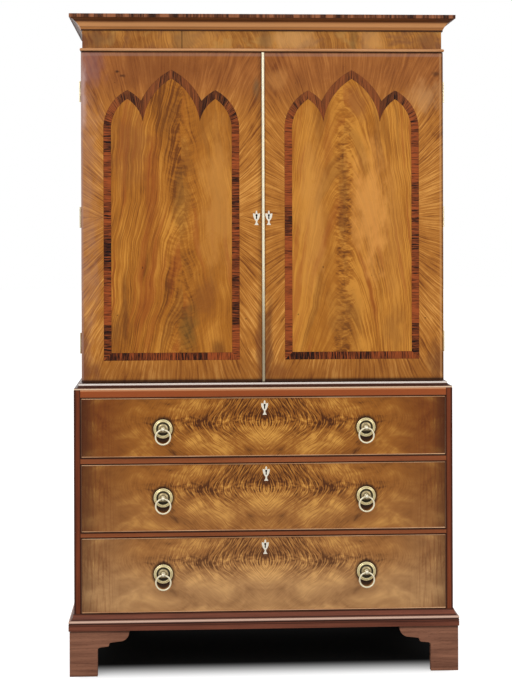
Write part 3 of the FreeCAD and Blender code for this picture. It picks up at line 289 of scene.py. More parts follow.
def grain(web, given):
    """Straight grain: long stripes across the board, finer lines in them, and open pores."""
    across = 1 / given["Stripe Width"]
    stretched = given["Vector"] * (1 / given["Stripe Length"], across, across)
    stripes = web.noise(stretched, 1.0, 3.0, 0.55, 0.7)
    lines = web.noise(stretched * (2.5, 9.0, 9.0), 1.0, 2.0, 0.6)
    pores = web.noise(given["Vector"] * (60.0, 1300.0, 1300.0), 1.0, 1.0).spread(0.58, 0.72)
    wash = web.noise(given["Vector"], 5.0)
    tone = (stripes - 0.5) * 1.9 + (lines - 0.5) * 1.1 + (wash - 0.5) * 0.8
    body = web.blend(tone * given["Contrast"] + 0.5, given["Dark"], given["Light"])
    open_pores = pores * given["Pore Depth"]
    body = web.blend(open_pores, body, web.blend(0.75, body, (0.01, 0.004, 0.002)))
    return body, pores * 0.15 + wash * 0.14, lines * 0.4 - open_pores


def flame(web, given):
    """Flame figure: feathers that run along lines of equal Across, with finer fibres in them,
    crossed near a column or spine by the short arched marks that Ripple brings in."""
    across, along = given["Across"], given["Along"]
    broad = web.noise((across * 0.2, along * 0.4, 4.0))
    bent = (broad - 0.5) * 3.0 + across
    feathers = web.noise((bent, along, 1.0), 1.0, 2.0, 0.6, 0.35)
    fibres = web.noise((bent * 2.9, along * 1.7, 7.0), 1.0, 2.0, 0.6)
    tone = (feathers.spread(0.3, 0.7) - 0.5) * 1.1 + (fibres - 0.5) + (broad - 0.5) * 0.9
    marks = web.noise(given["Marks"], 1.0, 2.0, 0.6, 0.4).spread(0.32, 0.68) - 0.5
    return tone * given["Depth"] + marks * given["Ripple"] + 0.5, fibres + feathers * 0.5


def polish(web, given):
    """French polish: faint waves, handling marks and dust specks, as roughness and height."""
    waves = web.noise(given["Vector"], 14.0)
    marks = web.noise(given["Vector"], 55.0, 3.0, 0.6, 1.0)
    specks = web.noise(given["Vector"], 420.0, 1.0).spread(0.68, 0.75)
    rough = given["Roughness"] + (waves - 0.5) * 0.22 + marks.spread(0.5, 0.75) * 0.08 + specks * 0.2
    return web.value("ShaderNodeClamp", {0: rough}), waves * 2.0 + marks * 0.25


def wear(web, given):
    """Metal that is bright where it is rubbed and dull in blotches."""
    blotches = web.noise(given["Vector"], 90.0, 4.0, 0.6, 0.6)
    scratches = web.noise(given["Vector"] * (300.0, 300.0, 2400.0), 1.0, 1.0)
    dull = blotches.spread(0.45, 0.7) * given["Wear"]
    rough = given["Roughness"] + dull * 0.25 + scratches * 0.06
    return web.blend(dull, given["Bright"], given["Dull"]), rough, scratches * 0.3 + blotches


# Each shared group: what builds it, its inputs and its outputs.
SURFACE = {"Color": "Color", "Roughness": "Float", "Height": "Float"}
GROUPS = {
    "Straight Grain": (grain, {
        "Vector": "Vector", "Light": "Color", "Dark": "Color", "Stripe Length": "Float",
        "Stripe Width": "Float", "Contrast": "Float", "Pore Depth": "Float"}, SURFACE),
    "Flame Figure": (flame, {
        "Across": "Float", "Along": "Float", "Depth": "Float", "Marks": "Vector",
        "Ripple": "Float"}, {"Tone": "Float", "Height": "Float"}),
    "Polish": (polish, {"Vector": "Vector", "Roughness": "Float"},
               {"Roughness": "Float", "Height": "Float"}),
    "Metal Wear": (wear, {
        "Vector": "Vector", "Bright": "Color", "Dull": "Color", "Wear": "Float",
        "Roughness": "Float"}, SURFACE),
}


def shared_group(name):
    """The node group of that name, made once."""
    tree = bpy.data.node_groups.get(name)
    if tree:
        return tree
    build, inputs, outputs = GROUPS[name]
    tree = bpy.data.node_groups.new(name, "ShaderNodeTree")
    for direction, sockets in (("INPUT", inputs), ("OUTPUT", outputs)):
        for label, kind in sockets.items():
            tree.interface.new_socket(label, in_out=direction, socket_type="NodeSocket" + kind)
    web = Web(tree)
    given = {value.socket.name: value for value in web.values(tree.nodes.new("NodeGroupInput"))}
    result = tree.nodes.new("NodeGroupOutput")
    for socket, value in zip(result.inputs, build(web, given)):
        web.feed(socket, value)
    return tree


# ------------------------------------------------------------------ materials

GLOSS = {"Specular IOR Level": 0.16, "Coat Weight": 0.05, "Coat Roughness": 0.15}
BUMP_HEIGHT = 0.0001         # metres
WOOD_RELIEF = 0.35
METAL_RELIEF = 0.2


def material(name, build, fixed=GLOSS, relief=WOOD_RELIEF):
    """A material made once; build(web) returns colour, roughness and height, and fixed values
    are set on the shader's own sockets."""
    made = bpy.data.materials.get(name)
    if made:
        return made
    made = bpy.data.materials.new(name)
    made.use_nodes = True
    web = Web(made.node_tree)
    shader = web.tree.nodes["Principled BSDF"]
    body, rough, height = build(web)
    bump = web.value("ShaderNodeBump", {"Height": height, "Distance": BUMP_HEIGHT, "Strength": relief})
    for key, value in {"Base Color": body, "Roughness": rough, "Normal": bump, **fixed}.items():
        web.feed(shader.inputs[key], value)
    return made


def tinted(body, value, rows):
    """Colours blended in where a value lies in bands of (low, high, colour, strength), with
    edges softened by up to 4 mm."""
    for low, high, tint, strength in rows:
        soft = min((high - low) * 0.3, 0.004)
        inside = (value.spread(low - soft, low + soft, 0.0, strength)
                  * value.spread(high - soft, high + soft, 1.0, 0.0))
        body = body.stained(inside, tint)
    return body


def rows_from(base, *rows):
    """Rows for tinted() whose bands are measured from a base."""
    return [(base + low, base + high, tint, strength) for low, high, tint, strength in rows]


def patched(body, rows):
    """Colours blended in at soft ovals with ragged edges: rows of (x, z, half width, half
    height, colour, strength), in metres from the press's middle and the floor."""
    own = body.web.place()
    ragged = (body.web.noise(own * (26.0, 0.0, 12.0), 1.0, 3.0, 0.6) - 0.5) * 1.6
    for x, z, half_width, half_height, tint, strength in rows:
        away = ((own - (x, 0, z)) * (1 / half_width, 0, 1 / half_height)).length()
        body = body.stained((away + ragged).spread(0.2, 1.0, strength, 0.0), tint)
    return body


def polished(body, vector, roughness, height):
    """A colour under French polish, as colour, roughness and height."""
    rough, waves = body.web.group("Polish", vector=vector, roughness=roughness)
    return body, rough, height + waves


def panel_tones(name, *ends):
    """The colours that the panel lists for a wood."""
    return [getattr(colours(), f"{name}_{end}") for end in ends]


def in_tones(tone, name, knee=0.45):
    """The panel's dark, middle and light colour of a wood, mixed by a tone from 0 to 1."""
    dark, mid, light = panel_tones(name, "dark", "mid", "light")
    body = tone.web.blend(tone.spread(0.0, 0.5), dark, mid)
    return tone.web.blend(tone.spread(knee, 1.0), body, light)


def straight_grain(web, vector, tones, length, width, contrast, pores):
    """The shared grain, with tones as the panel's name for them or as two colours."""
    if isinstance(tones, str):
        light, dark = panel_tones(tones, "light", "dark")
    else:
        light, dark = (shade(*tone) for tone in tones)
    return web.group("Straight Grain", vector=vector, light=light, dark=dark, stripe_length=length,
                     stripe_width=width, contrast=contrast, pore_depth=pores)


def straight_wood(name, heights=(), sides=()):
    """Straight-grained wood as WOODS has it, with bands by height and by distance from the
    press's middle: mostly painted shade and painted highlights along edges, gaps and mouldings."""
    tones, length, width, contrast, pores, rough, *bands = WOODS[name]
    heights = list(heights)
    for node, corner, *rows in bands:
        heights += rows_from(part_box(node)[corner].z, *rows)

    def build(web):
        board = web.board()
        body, open_rough, height = straight_grain(web, board, tones, length, width, contrast, pores)
        x, _, z = web.place().parts()
        body = tinted(tinted(body, z, heights), abs(x), sides)
        body, polish_rough, height = polished(body, board, rough, height)
        return body, polish_rough + open_rough * 0.5, height
    return material(name, build, UNPOLISHED.get(name, GLOSS))


# A near-black brown: mostly painted shade in gaps, quirks, hollows and along edges; also the colour of the
# frieze's veneer joint and the dark end of the banding's faded tone.
SHADE_BROWN = (34, 12, 6)
LOW, HIGH = 0, 1             # the corners of a node's box
# Straight-grained woods: their light and dark colour, the stripes' length and width in metres,
# contrast, pores and roughness. Then bands of painted shade and painted highlight by height, from a corner of a
# node.
WOODS = {
    "carcase_mahogany": ("carcase", 0.6, 0.03, 0.55, 0.4, 0.34),
    "stile_mahogany": ("carcase", 0.4, 0.014, 0.95, 0.4, 0.34),
    "rail_mahogany": (((172, 96, 54), (116, 60, 30)), 0.6, 0.03, 0.55, 0.4, 0.34),
    "lining_oak": ("lining", 0.5, 0.02, 0.55, 0.6, 0.55),
    "back_pine": ("back", 0.8, 0.035, 0.7, 0.4, 0.65),
    # The feet: painted shade across their tops, just under the plinth moulding.
    "foot_mahogany": (
        "foot", 0.3, 0.012, 0.85, 0.6, 0.42, ("plinth_moulding", LOW, (-0.006, 0.001, SHADE_BROWN, 0.55))),
    # Painted shade under the fascia, high on the cove and in the bottom fillet; painted light on the lower cove.
    "cornice_mahogany": (
        ((158, 98, 54), (98, 52, 26)), 0.3, 0.008, 1.1, 0.35, 0.3,
        ("cornice_crossbanding", LOW, (-0.0085, 0.001, (92, 50, 24), 0.6)),
        ("cornice_moulding", LOW, (0.0115, 0.0238, (240, 172, 110), 0.76), (0.026, 0.0305, SHADE_BROWN, 0.5),
         (0.004, 0.0098, (206, 138, 74), 0.6), (-0.002, 0.0042, SHADE_BROWN, 0.8))),
    # Painted highlights along the two beads, painted shade in the hollow between and along the top edge.
    "waist_mahogany": (
        ((140, 78, 46), (92, 44, 26)), 0.35, 0.012, 0.5, 0.35, 0.3,
        ("waist_moulding", LOW, (-0.001, 0.0042, (255, 224, 190), 0.95), (0.0056, 0.0122, SHADE_BROWN, 0.85)),
        ("waist_moulding", HIGH, (-0.0056, -0.0009, (255, 246, 236), 0.98), (-0.0004, 0.002, SHADE_BROWN, 0.6))),
    # A painted highlight on the bead, with painted shade in the quirks each side of it, in the fascia's incised
    # line and along the top edge.
    "plinth_mahogany": (
        ((142, 80, 58), (84, 44, 32)), 0.35, 0.02, 0.7, 0.35, 0.32,
        ("plinth_moulding", LOW, (0.0135, 0.0165, SHADE_BROWN, 0.6), (0.0185, 0.023, SHADE_BROWN, 0.8),
         (0.0245, 0.0302, (240, 204, 182), 0.8), (0.0312, 0.0345, SHADE_BROWN, 0.75)),
        ("plinth_moulding", HIGH, (-0.003, 0.001, SHADE_BROWN, 0.6))),
    # The frieze bead: pale tones that stand in for its highlight, and painted shade along its foot.
    "bead_mahogany": (
        ((232, 176, 124), (170, 108, 62)), 0.3, 0.01, 0.6, 0.3, 0.28,
        ("frieze_bead", LOW, (-0.001, 0.002, SHADE_BROWN, 0.7))),
}
UNPOLISHED = {"lining_oak": {"Specular IOR Level": 0.25}, "back_pine": {"Specular IOR Level": 0.2}}
# Each door's field: column, its half width, mottle, gold, power, steepness and fall of the curves.
FIELDS = {"left": (0.03, 0.06, 0.24, 0.02, 1.5, 500.0, 35.0),
          "right": (-0.028, 0.036, 0.62, 0.2, 2.0, 1200.0, 48.0)}
# How far beyond the middle of each door its border's feathers meet, in metres.
FANS = {"left": 0.08, "right": 0.01}
# Each door's banding: its tone, how much darker its foot is, and where its pattern starts.
BANDS = {"left": (0.46, 0.0, 0.0), "right": (0.62, 0.3, 50.0)}
# Each drawer: how bleached it is, the colour of its ends and how much darker its outer edges are.
DRAWER_LOOKS = {1: (0.04, (112, 52, 16), 0.7), 2: (0.2, (128, 74, 28), 0.55),
                3: (0.72, (150, 104, 62), 0.4)}
# Clouds and stains of the fields, the borders and the frieze, and a painted reflection on the left door's border,
# as rows for patched().
FIELD_PATCHES = {
    "left": (
        (-0.408, 1.62, 0.08, 0.2, (140, 82, 38), 0.5), (-0.138, 1.44, 0.075, 0.32, (212, 146, 68), 0.55),
        (-0.34, 1.47, 0.03, 0.24, (146, 66, 22), 0.4), (-0.178, 1.15, 0.05, 0.09, (134, 74, 30), 0.5),
        (-0.424, 1.08, 0.014, 0.13, (92, 42, 18), 0.6), (-0.228, 1.05, 0.036, 0.1, (110, 84, 36), 0.55),
        (-0.25, 1.44, 0.04, 0.13, (132, 92, 40), 0.35), (-0.14, 0.99, 0.03, 0.05, (96, 46, 18), 0.6),
        (-0.455, 1.04, 0.03, 0.09, (100, 50, 22), 0.5)),
    "right": (
        (0.29, 1.75, 0.05, 0.07, (134, 70, 36), 0.55), (0.155, 1.42, 0.06, 0.34, (214, 148, 70), 0.5),
        (0.2, 1.62, 0.02, 0.12, (150, 72, 24), 0.35), (0.25, 1.08, 0.07, 0.16, (146, 92, 36), 0.4),
        (0.25, 1.45, 0.022, 0.24, (112, 66, 28), 0.45), (0.4, 1.35, 0.05, 0.3, (206, 140, 62), 0.4),
        (0.335, 1.42, 0.075, 0.26, (232, 160, 78), 0.75), (0.405, 1.05, 0.05, 0.1, (140, 84, 34), 0.45)),
}
BORDER_PATCHES = {
    "left": (
        # The pale pink rows at x -0.57 and -0.56 are a painted reflection along the door's outer edge.
        (-0.447, 1.845, 0.012, 0.007, (44, 20, 10), 0.9), (-0.433, 1.832, 0.015, 0.008, (52, 24, 12), 0.85),
        (-0.55, 1.86, 0.09, 0.1, (140, 84, 84), 0.55), (-0.32, 1.86, 0.22, 0.09, (124, 66, 26), 0.5),
        (-0.57, 1.45, 0.09, 0.9, (174, 132, 112), 0.36), (-0.02, 1.8, 0.016, 0.05, (112, 92, 62), 0.5),
        (-0.545, 0.925, 0.06, 0.05, (110, 52, 26), 0.6), (-0.56, 1.78, 0.025, 0.14, (214, 186, 182), 0.55),
        (-0.555, 1.02, 0.03, 0.12, (112, 58, 34), 0.6), (-0.012, 0.99, 0.016, 0.2, (112, 54, 28), 0.6)),
    "right": (
        (0.536, 1.84, 0.02, 0.012, (60, 28, 14), 0.6), (0.045, 1.82, 0.05, 0.05, (206, 140, 72), 0.4),
        (0.5, 1.77, 0.07, 0.07, (212, 156, 98), 0.5), (0.545, 0.95, 0.04, 0.09, (104, 54, 30), 0.65),
        (0.05, 0.92, 0.06, 0.035, (120, 58, 24), 0.5), (0.014, 0.99, 0.02, 0.2, (92, 42, 24), 0.65)),
}
FRIEZE_PATCHES = (
    (-0.51, 1.945, 0.07, 0.06, (96, 52, 34), 0.6), (-0.25, 1.93, 0.045, 0.07, (116, 78, 44), 0.6),
    (0.005, 1.945, 0.04, 0.07, (112, 74, 44), 0.55), (0.281, 1.94, 0.02, 0.06, (110, 80, 40), 0.5),
    (0.51, 1.94, 0.045, 0.06, (110, 60, 38), 0.6), (0.1, 1.945, 0.09, 0.08, (218, 162, 98), 0.6),
    (0.34, 1.945, 0.05, 0.07, (214, 154, 86), 0.6), (-0.2, 1.945, 0.1, 0.08, (196, 140, 74), 0.4),
)


def stile_wood():
    """The chest's sides, with painted shade beside the drawers and along the front corners."""
    _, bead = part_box("drawer_1_cockbead")
    _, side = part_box("chest_sides")
    return straight_wood("stile_mahogany", sides=[*rows_from(bead.x, (-0.01, 0.003, SHADE_BROWN, 0.85)),
                                                  *rows_from(side.x, (-0.006, -0.0002, SHADE_BROWN, 0.7))])


def rail_wood():
    """The rails between the drawers, with painted shade along the edges of the openings."""
    waist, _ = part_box("waist_moulding")
    heights = []
    for number in DRAWERS:
        low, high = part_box(f"drawer_{number}_cockbead")
        heights += rows_from(low.z, (-0.005, 0, SHADE_BROWN, 0.85))
        heights += rows_from(high.z, (0, 0.0032, SHADE_BROWN, 0.8))
    heights.append((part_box("drawer_1_cockbead")[1].z + 0.004, waist.z, (166, 80, 34), 0.65))
    # A painted highlight along the top rail's upper edge, under the waist moulding.
    heights += rows_from(waist.z, (-0.0035, 0.001, (226, 160, 112), 0.7))
    return straight_wood("rail_mahogany", heights)


def cockbead_wood(number):
    """The cockbead: pale, as a painted highlight along its nose above and below, with painted
    shade down the ends and where it meets the rails."""
    low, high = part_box(f"drawer_{number}_cockbead")
    thick = high.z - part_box(f"drawer_{number}_front")[1].z

    def build(web):
        board = web.board()
        body, _, height = straight_grain(web, board, ((238, 190, 146), (160, 104, 62)),
                                         0.2, 0.01, 0.7, 0.3)
        _, across, _ = board.parts()
        x, _, _ = web.place(tuple((low + high) / 2)).parts()
        from_end = (high.x - low.x) / 2 - abs(x)
        body = body.stained(from_end.spread(thick * 0.9, thick * 1.2, 0.85, 0.0), (70, 34, 24))
        body = body.stained(across.spread(thick * 0.1, thick * 0.42, 0.9, 0.0), SHADE_BROWN)
        return polished(body, board, 0.3, height)
    return material(f"drawer_{number}_cockbead_mahogany", build)


def crossband_wood():
    """Rosewood laid across the fascia, so that its grain stands upright."""
    def build(web):
        along, across, through = web.board().parts()
        body, _, height = straight_grain(web, (across, along, through),
                                         ((124, 70, 40), (44, 18, 10)), 0.06, 0.008, 1.0, 0.6)
        patches = web.noise((along, 0.0, 3.0), 24.0, 4.0, 0.75)
        body = body.stained(patches.spread(0.48, 0.56, 0.0, 0.7), (176, 110, 72))
        body = body.stained(patches.spread(0.47, 0.4, 0.0, 0.75), (22, 7, 4))
        return polished(body, web.board(), 0.34, height)
    return material("crossband_rosewood", build)


def frieze_wood():
    """Mottled golden veneer: upright feathers in clusters, purplish clouds and one joint."""
    def build(web):
        x, _, z = web.place().parts()
        sway = web.noise((x * 9.0, 0.0, z * 14.0))
        leaning = x + z * 0.35 + sway * 0.05
        tone, height = web.group("Flame Figure", across=leaning * 230.0, along=z * 9.0, depth=0.6,
                                 marks=(x * 60.0, 0.0, z * 40.0), ripple=0.16)
        clouds = web.noise((x * 7.0, 4.0, z * 9.0), 1.0, 3.0, 0.6, 0.5)
        tone = tone + (clouds - 0.5) * 1.9 + 0.12
        body = web.blend(tone, *panel_tones("frieze", "dark", "light"))
        dusk = web.noise((x * 10.0, 9.0, z * 10.0), 1.0, 3.0, 0.6, 0.4)
        body = body.stained(dusk.spread(0.5, 0.64, 0.0, 0.6), (112, 66, 48))
        body = body.stained(dusk.spread(0.46, 0.36, 0.0, 0.5), (190, 142, 76))
        body = tinted(patched(body, FRIEZE_PATCHES), x, [(-0.251, -0.2475, SHADE_BROWN, 0.6)])
        return polished(body, web.board(), 0.32, height)
    return material("frieze_veneer", build)


def banding_wood(hand, arches):
    """Rosewood crossbanding: grain across the band, in short lengths of differing tone, paler
    round the arches above the springing. On the straight lengths it runs square to the edges:
    the distance along is x in the foot, z in the legs and the band's own length in the arches."""
    base, foot_drop, start = BANDS[hand]
    rise = arches.spring - arches.foot
    width = sizes().band_width

    def build(web):
        own_length, across, _ = web.board().parts()
        x, _, z = web.place((arches.middle, 0, arches.foot)).parts()
        inward = arches.half - abs(x)
        on_foot = z < inward
        on_leg = (z > inward) * (z < rise)
        along = own_length * (1.0 - on_foot - on_leg) + start
        along = along + x * on_foot + (z + (x > 0.0) * 7.0) * on_leg
        joint = web.noise((along, 0.0, 2.0), 9.0, 1.0) * 1.6 + along * 11.0
        piece = web.value("ShaderNodeTexWhiteNoise", {"W": web.math("FLOOR", joint)},
                          noise_dimensions="1D")
        bent = web.noise((along, across, piece), 60.0, 1.0) * 0.0025 + along
        streaks = web.noise((bent * 290.0, across * 26.0, piece), 1.0, 3.0, 0.65)
        fine = web.noise((bent * 480.0, across * 20.0, piece), 1.0, 1.0)
        patches = web.noise((along * 30.0, 0.0, piece))
        tone = (streaks - 0.5) * 2.6 + (fine - 0.5) * 2.4 + (patches - 0.5) * 1.1 + (piece - 0.5) * 0.6
        tone = tone + base - on_foot * foot_drop
        body = web.blend(tone, *panel_tones("band", "dark", "light"))
        faded = web.blend(tone, shade(*SHADE_BROWN), shade(136, 80, 38))
        body = web.blend(z.spread(rise, rise + 0.1, 0.0, 0.6), body, faded)
        body = body.stained(web.math("FRACT", joint).spread(0.0, 0.03, 0.6, 0.0), (20, 8, 4))
        rim = abs(across - width / 2).spread(width * 0.45, width * 0.5, 0.0, 0.45)
        return polished(body.stained(rim, (30, 14, 8)), web.board(), 0.34, streaks)
    return material(f"{hand}_banding_rosewood", build)


def door_field_wood(hand, arches):
    """Veneer inside the arches: pointed curves, one inside the other, about a wandering column.
    They are lines of equal value of a power of the sideways distance, less a multiple of the
    drop below the apex. Short arched marks run down the column."""
    column, width, mottle, golden, power, steep, fall = FIELDS[hand]
    side = dict(HANDS)[hand]

    def build(web):
        x, _, z = web.place((arches.middle, 0, arches.apex)).parts()
        drop = web.math("MAXIMUM", 0.03 - z, 0.01)
        shifted = x - column + (web.noise((0.0, column * 100, z), 4.0, 3.0) - 0.5) * 0.06
        away = abs(shifted)
        waves = web.noise((x * 8.0, side * 3.0, z * 5.0))
        across = web.math("POWER", away, power) * steep - drop * fall
        across = across + waves * 5.0 + (shifted > 0.0) * 50.0
        near = away.spread(width * 0.35, width, 1.0, 0.0) * drop.spread(0.1, 0.3, 0.3, 1.0)
        marks = (x * 45.0, column * 50, drop * 120.0 + shifted * shifted * 900.0)
        tone, height = web.group("Flame Figure", across=across, along=drop * 5.0, marks=marks,
                                 depth=(shifted * side).spread(-0.05, 0.05, 0.26, 0.52),
                                 ripple=near * mottle + 0.06)
        clouds = web.noise((x * 9.0, side * 2.0, z * 3.5), 1.0, 4.0, 0.6, 0.5)
        tone = tone + (clouds - 0.5) * 1.5 - near * (mottle * 0.3)
        tone = tone - drop.spread(0.34, 0.0, 0.0, 0.12) + golden
        body = in_tones(tone, "field")
        streaks = web.noise((across * 0.12, drop * 2.2, 5.0), 1.0, 3.0)
        body = body.stained(streaks.spread(0.52, 0.66, 0.0, 0.5), (158, 76, 26))
        body = body.stained(streaks.spread(0.42, 0.32, 0.0, 0.4), (128, 76, 28))
        knots = web.noise((x * 75.0, 0.0, z * 42.0), 1.0, 1.0)
        body = patched(body, FIELD_PATCHES[hand])
        body = body.stained(knots.spread(0.76, 0.8, 0.0, 0.75), (60, 28, 10))
        return polished(body, web.place(), 0.3, height)
    return material(f"{hand}_door_field_veneer", build)


def door_border_wood(hand, arches):
    """Veneer outside the arches. Its feathers point at the middle of the door: the angle is that
    of sideways distance over height, and the lower half mirrors the upper one."""
    low, high = arches.leaf_low, arches.leaf_high
    slip_low, slip_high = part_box("astragal")
    painted_sheen = (168, 134, 122)
    # Left door: a painted sheen along its outer edge and painted shade beside the astragal. Right door: painted
    # shade beside the astragal, and a painted highlight, then painted shade, at its outer edge.
    if hand == "left":
        sides = [*rows_from(low.x, (-0.001, 0.006, painted_sheen, 0.6)),
                 *rows_from(slip_low.x, (-0.011, 0, SHADE_BROWN, 0.2), (-0.004, 0, SHADE_BROWN, 0.35))]
    else:
        sides = [*rows_from(slip_high.x, (0, 0.0035, SHADE_BROWN, 0.4)),
                 *rows_from(high.x, (-0.011, -0.005, (214, 158, 104), 0.4),
                            (-0.0048, 0.001, SHADE_BROWN, 0.6))]
    # Painted shade along the door's foot and at its top under the frieze bead, with a painted sheen just below the
    # top.
    heights = [*rows_from(low.z, (-0.001, 0.0072, SHADE_BROWN, 0.85), (-0.001, 0.0115, SHADE_BROWN, 0.3)),
               *rows_from(high.z, (-0.003, 0.001, SHADE_BROWN, 0.6), (-0.012, -0.003, painted_sheen, 0.3))]

    def build(web):
        x, _, z = web.place((arches.middle, 0, (low.z + high.z) / 2)).parts()
        rise = abs(z)
        waves = web.noise((x * 7.0, 2.0, z * 7.0))
        turn = web.math("ARCTAN2", x, rise + FANS[hand])
        reach = web.math("SQRT", x * x + rise * rise)
        tone, height = web.group("Flame Figure", along=reach * 9.0,
                                 across=waves * 4.0 + turn * 84.0 + (z < 0.0) * 40.0,
                                 depth=z.spread(0.2, 0.42, 0.55, 0.38), ripple=0.0)
        clouds = web.noise((x * 9.0, 5.0, z * 6.0), 1.0, 4.0, 0.6, 0.5)
        tone = tone + (clouds - 0.5) * 1.3
        body = in_tones(tone, "border", 0.5)
        top = web.blend(tone, shade(112, 56, 26), shade(172, 100, 50))
        body = web.blend(z.spread(0.28, 0.44, 0.0, 0.7), body, top)
        body = body.stained(z.spread(-0.40, -0.48, 0.0, 0.45), (138, 80, 30))
        body = body.stained(rise.spread(0.0, 0.0014, 0.35, 0.0), (70, 34, 14))
        knots = web.noise((x * 55.0, 9.0, z * 55.0), 1.0, 1.0)
        body = body.stained(knots.spread(0.76, 0.81, 0.0, 0.8), (60, 28, 10))
        true_x, _, true_z = web.place().parts()
        body = tinted(patched(body, BORDER_PATCHES[hand]), true_x, sides)
        return polished(tinted(body, true_z, heights), web.place(), 0.3, height)
    return material(f"{hand}_door_border_veneer", build)


def drawer_wood(number, middle, top, reach, plates):
    """Book-matched flame veneer, the same on both sides of the joint under the keyhole. Its
    strokes are bowed: sideways distance plus a bend that grows with the distance from a spine,
    which runs along the drawer a third of the way down."""
    pale, end_tint, end_darkening = DRAWER_LOOKS[number]

    def build(web):
        x, _, z = web.place((middle, 0, top)).parts()
        side = abs(x)
        drop = z * -1.0
        below = drop - 0.07 + (web.noise((side, 0.0, 3.0), 9.0) - 0.5) * 0.04
        bend = web.math("SQRT", below * below + 0.0009) - 0.03
        bend = bend * below.spread(-0.02, 0.02, 0.8, 1.25)
        waves = web.noise((side * 16.0, 0.0, drop * 16.0))
        flamed = side.spread(0.22, 0.4, 1.0, 0.3) * below.spread(0.01, 0.08, 1.0, 0.4 - 0.35 * pale)
        over = below.spread(0.0, -0.03)
        flamed = flamed * (1.0 - over * side.spread(0.12, 0.2, 0.0, 0.6))
        spine = abs(below).spread(0.0, 0.03, 1.0, 0.0) * side.spread(0.3, 0.42, 0.4, 0.1)
        tone, height = web.group("Flame Figure", across=waves * 5.0 + (side + bend) * 235.0,
                                 along=below * 30.0, ripple=spine,
                                 depth=flamed * side.spread(0.12, 0.26, 0.78, 0.66),
                                 marks=(side * 45.0, 0.0, below * 110.0))
        clouds = web.noise((side * 9.0, 3.0, drop * 14.0), 1.0, 3.0, 0.55, 0.5)
        heart = side.spread(0.06, 0.17, 0.2, 0.0) * below.spread(-0.03, 0.03, 1.0, 0.0)
        dusk = (abs(below).spread(0.0, 0.04, 0.3, 0.0) * side.spread(0.46, 0.36)
                * side.spread(0.1, 0.2))
        hood = abs(side - 0.15).spread(0.0, 0.07, 0.3, 0.0) * over
        golden = below.spread(0.01, 0.05) * side.spread(0.42, 0.2, 0.0, 0.06)
        tone = tone + (clouds - 0.5) * 1.6 - heart - dusk - hood + golden
        body = in_tones(tone, "drawer")
        body = body.stained(side.spread(0.36, 0.5, 0.0, 0.6), end_tint)
        bleached = web.blend(tone, shade(134, 90, 54), shade(236, 186, 128))
        body = web.blend(below.spread(-0.04, 0.1, 0.35, 1.0) * pale, body, bleached)
        upright = web.noise((side * 150.0, 0.0, drop * 9.0), 1.0, 3.0, 0.6)
        upright = upright.spread(0.48, 0.62, 0.0, 0.35) * side.spread(0.4, 0.52)
        body = body.stained(upright, (112, 48, 22))
        body = body.stained(side.spread(reach - 0.055, reach, 0.0, end_darkening), (62, 24, 14))
        # Painted shadows: a dark halo round each backplate and a dark disc inside each hanging ring.
        for plate_x, plate_z, radius in plates:
            away = (web.place((plate_x, 0, plate_z)) * (1.0, 0.0, 0.96)).length()
            body = body.stained(away.spread(radius * 0.9, radius * 1.25, 0.9, 0.0), (40, 20, 8))
        return polished(body, web.place(), 0.3, height)
    return material(f"drawer_{number}_veneer", build)


def worn(web, bright, dull, wear, rough):
    return web.group("Metal Wear", vector=web.place(), bright=bright, dull=dull, wear=wear,
                     roughness=rough)


def metal(name, *look, metallic=1.0):
    """A metal, with its look as bright colour, dull colour, wear and roughness."""
    return material(name, lambda web: worn(web, *look), {"Metallic": metallic}, METAL_RELIEF)


RUBBED_BRASS = (shade(255, 246, 214), shade(250, 222, 166), 0.35, 0.3)


def brass():
    return metal("ring_brass", *RUBBED_BRASS, metallic=0.3)


def hinge_brass():
    return metal("hinge_brass", shade(250, 236, 200), shade(214, 186, 134), 0.5, 0.3)


def lock_steel():
    return metal("lock_steel", colours().steel, shade(70, 62, 54), 0.8, 0.4)


def screw_steel():
    return metal("screw_steel", shade(96, 92, 88), shade(48, 42, 38), 0.7, 0.45)


def strip_brass():
    """Brass of the strip over the seam, duller towards its foot."""
    def build(web):
        body, rough, height = worn(web, *RUBBED_BRASS)
        _, _, z = web.place().parts()
        return body.stained(z.spread(1.3, 0.98, 0.0, 0.75), (140, 118, 84)), rough, height
    return material("strip_brass", build, {"Metallic": 0.3}, METAL_RELIEF)


def plate_brass():
    """Brass of the backplates: dark in the groove, in the line round the rim and round the stem,
    duller on the boss, with a painted highlight on the knob and a painted shadow below it. The
    board attribute holds the distance from the middle of the plate."""
    plate, knob = sizes().plate_radius, sizes().knob_radius

    def build(web):
        body, rough, height = worn(web, colours().brass, colours().brass_dull, 0.4, 0.24)
        radius, rise, _ = web.board().parts()
        off_knob = radius.spread(knob * 1.02, knob * 1.1)
        groove = abs(radius - plate * 0.62).spread(0.0014, 0.0048, 0.97, 0.0)
        line = abs(radius - plate * 0.87).spread(0.0, 0.0009, 0.6, 0.0)
        neck = radius.spread(knob * 1.1, knob * 1.9, 0.6, 0.0) * off_knob
        # A painted shadow of the knob, low on the plate below it.
        under = (abs(rise + plate * 0.47).spread(0.0022, 0.0052, 0.92, 0.0)
                 * radius.spread(plate * 0.6, plate * 0.68, 1.0, 0.0))
        hollows_and_shadow = groove
        for dark in (line, neck, under):
            hollows_and_shadow = web.math("MAXIMUM", hollows_and_shadow, dark)
        body = body.stained(radius.spread(plate * 0.5, plate * 0.6, 0.62, 0.0) * off_knob, (132, 104, 68))
        # A painted highlight: the knob paler than the plate.
        body = body.stained(radius.spread(knob * 0.9, knob, 0.8, 0.0), (255, 250, 228))
        return body.stained(hollows_and_shadow, (30, 17, 7)), rough + hollows_and_shadow * 0.3, height
    return material("backplate_brass", build, {"Metallic": 0.6}, METAL_RELIEF)


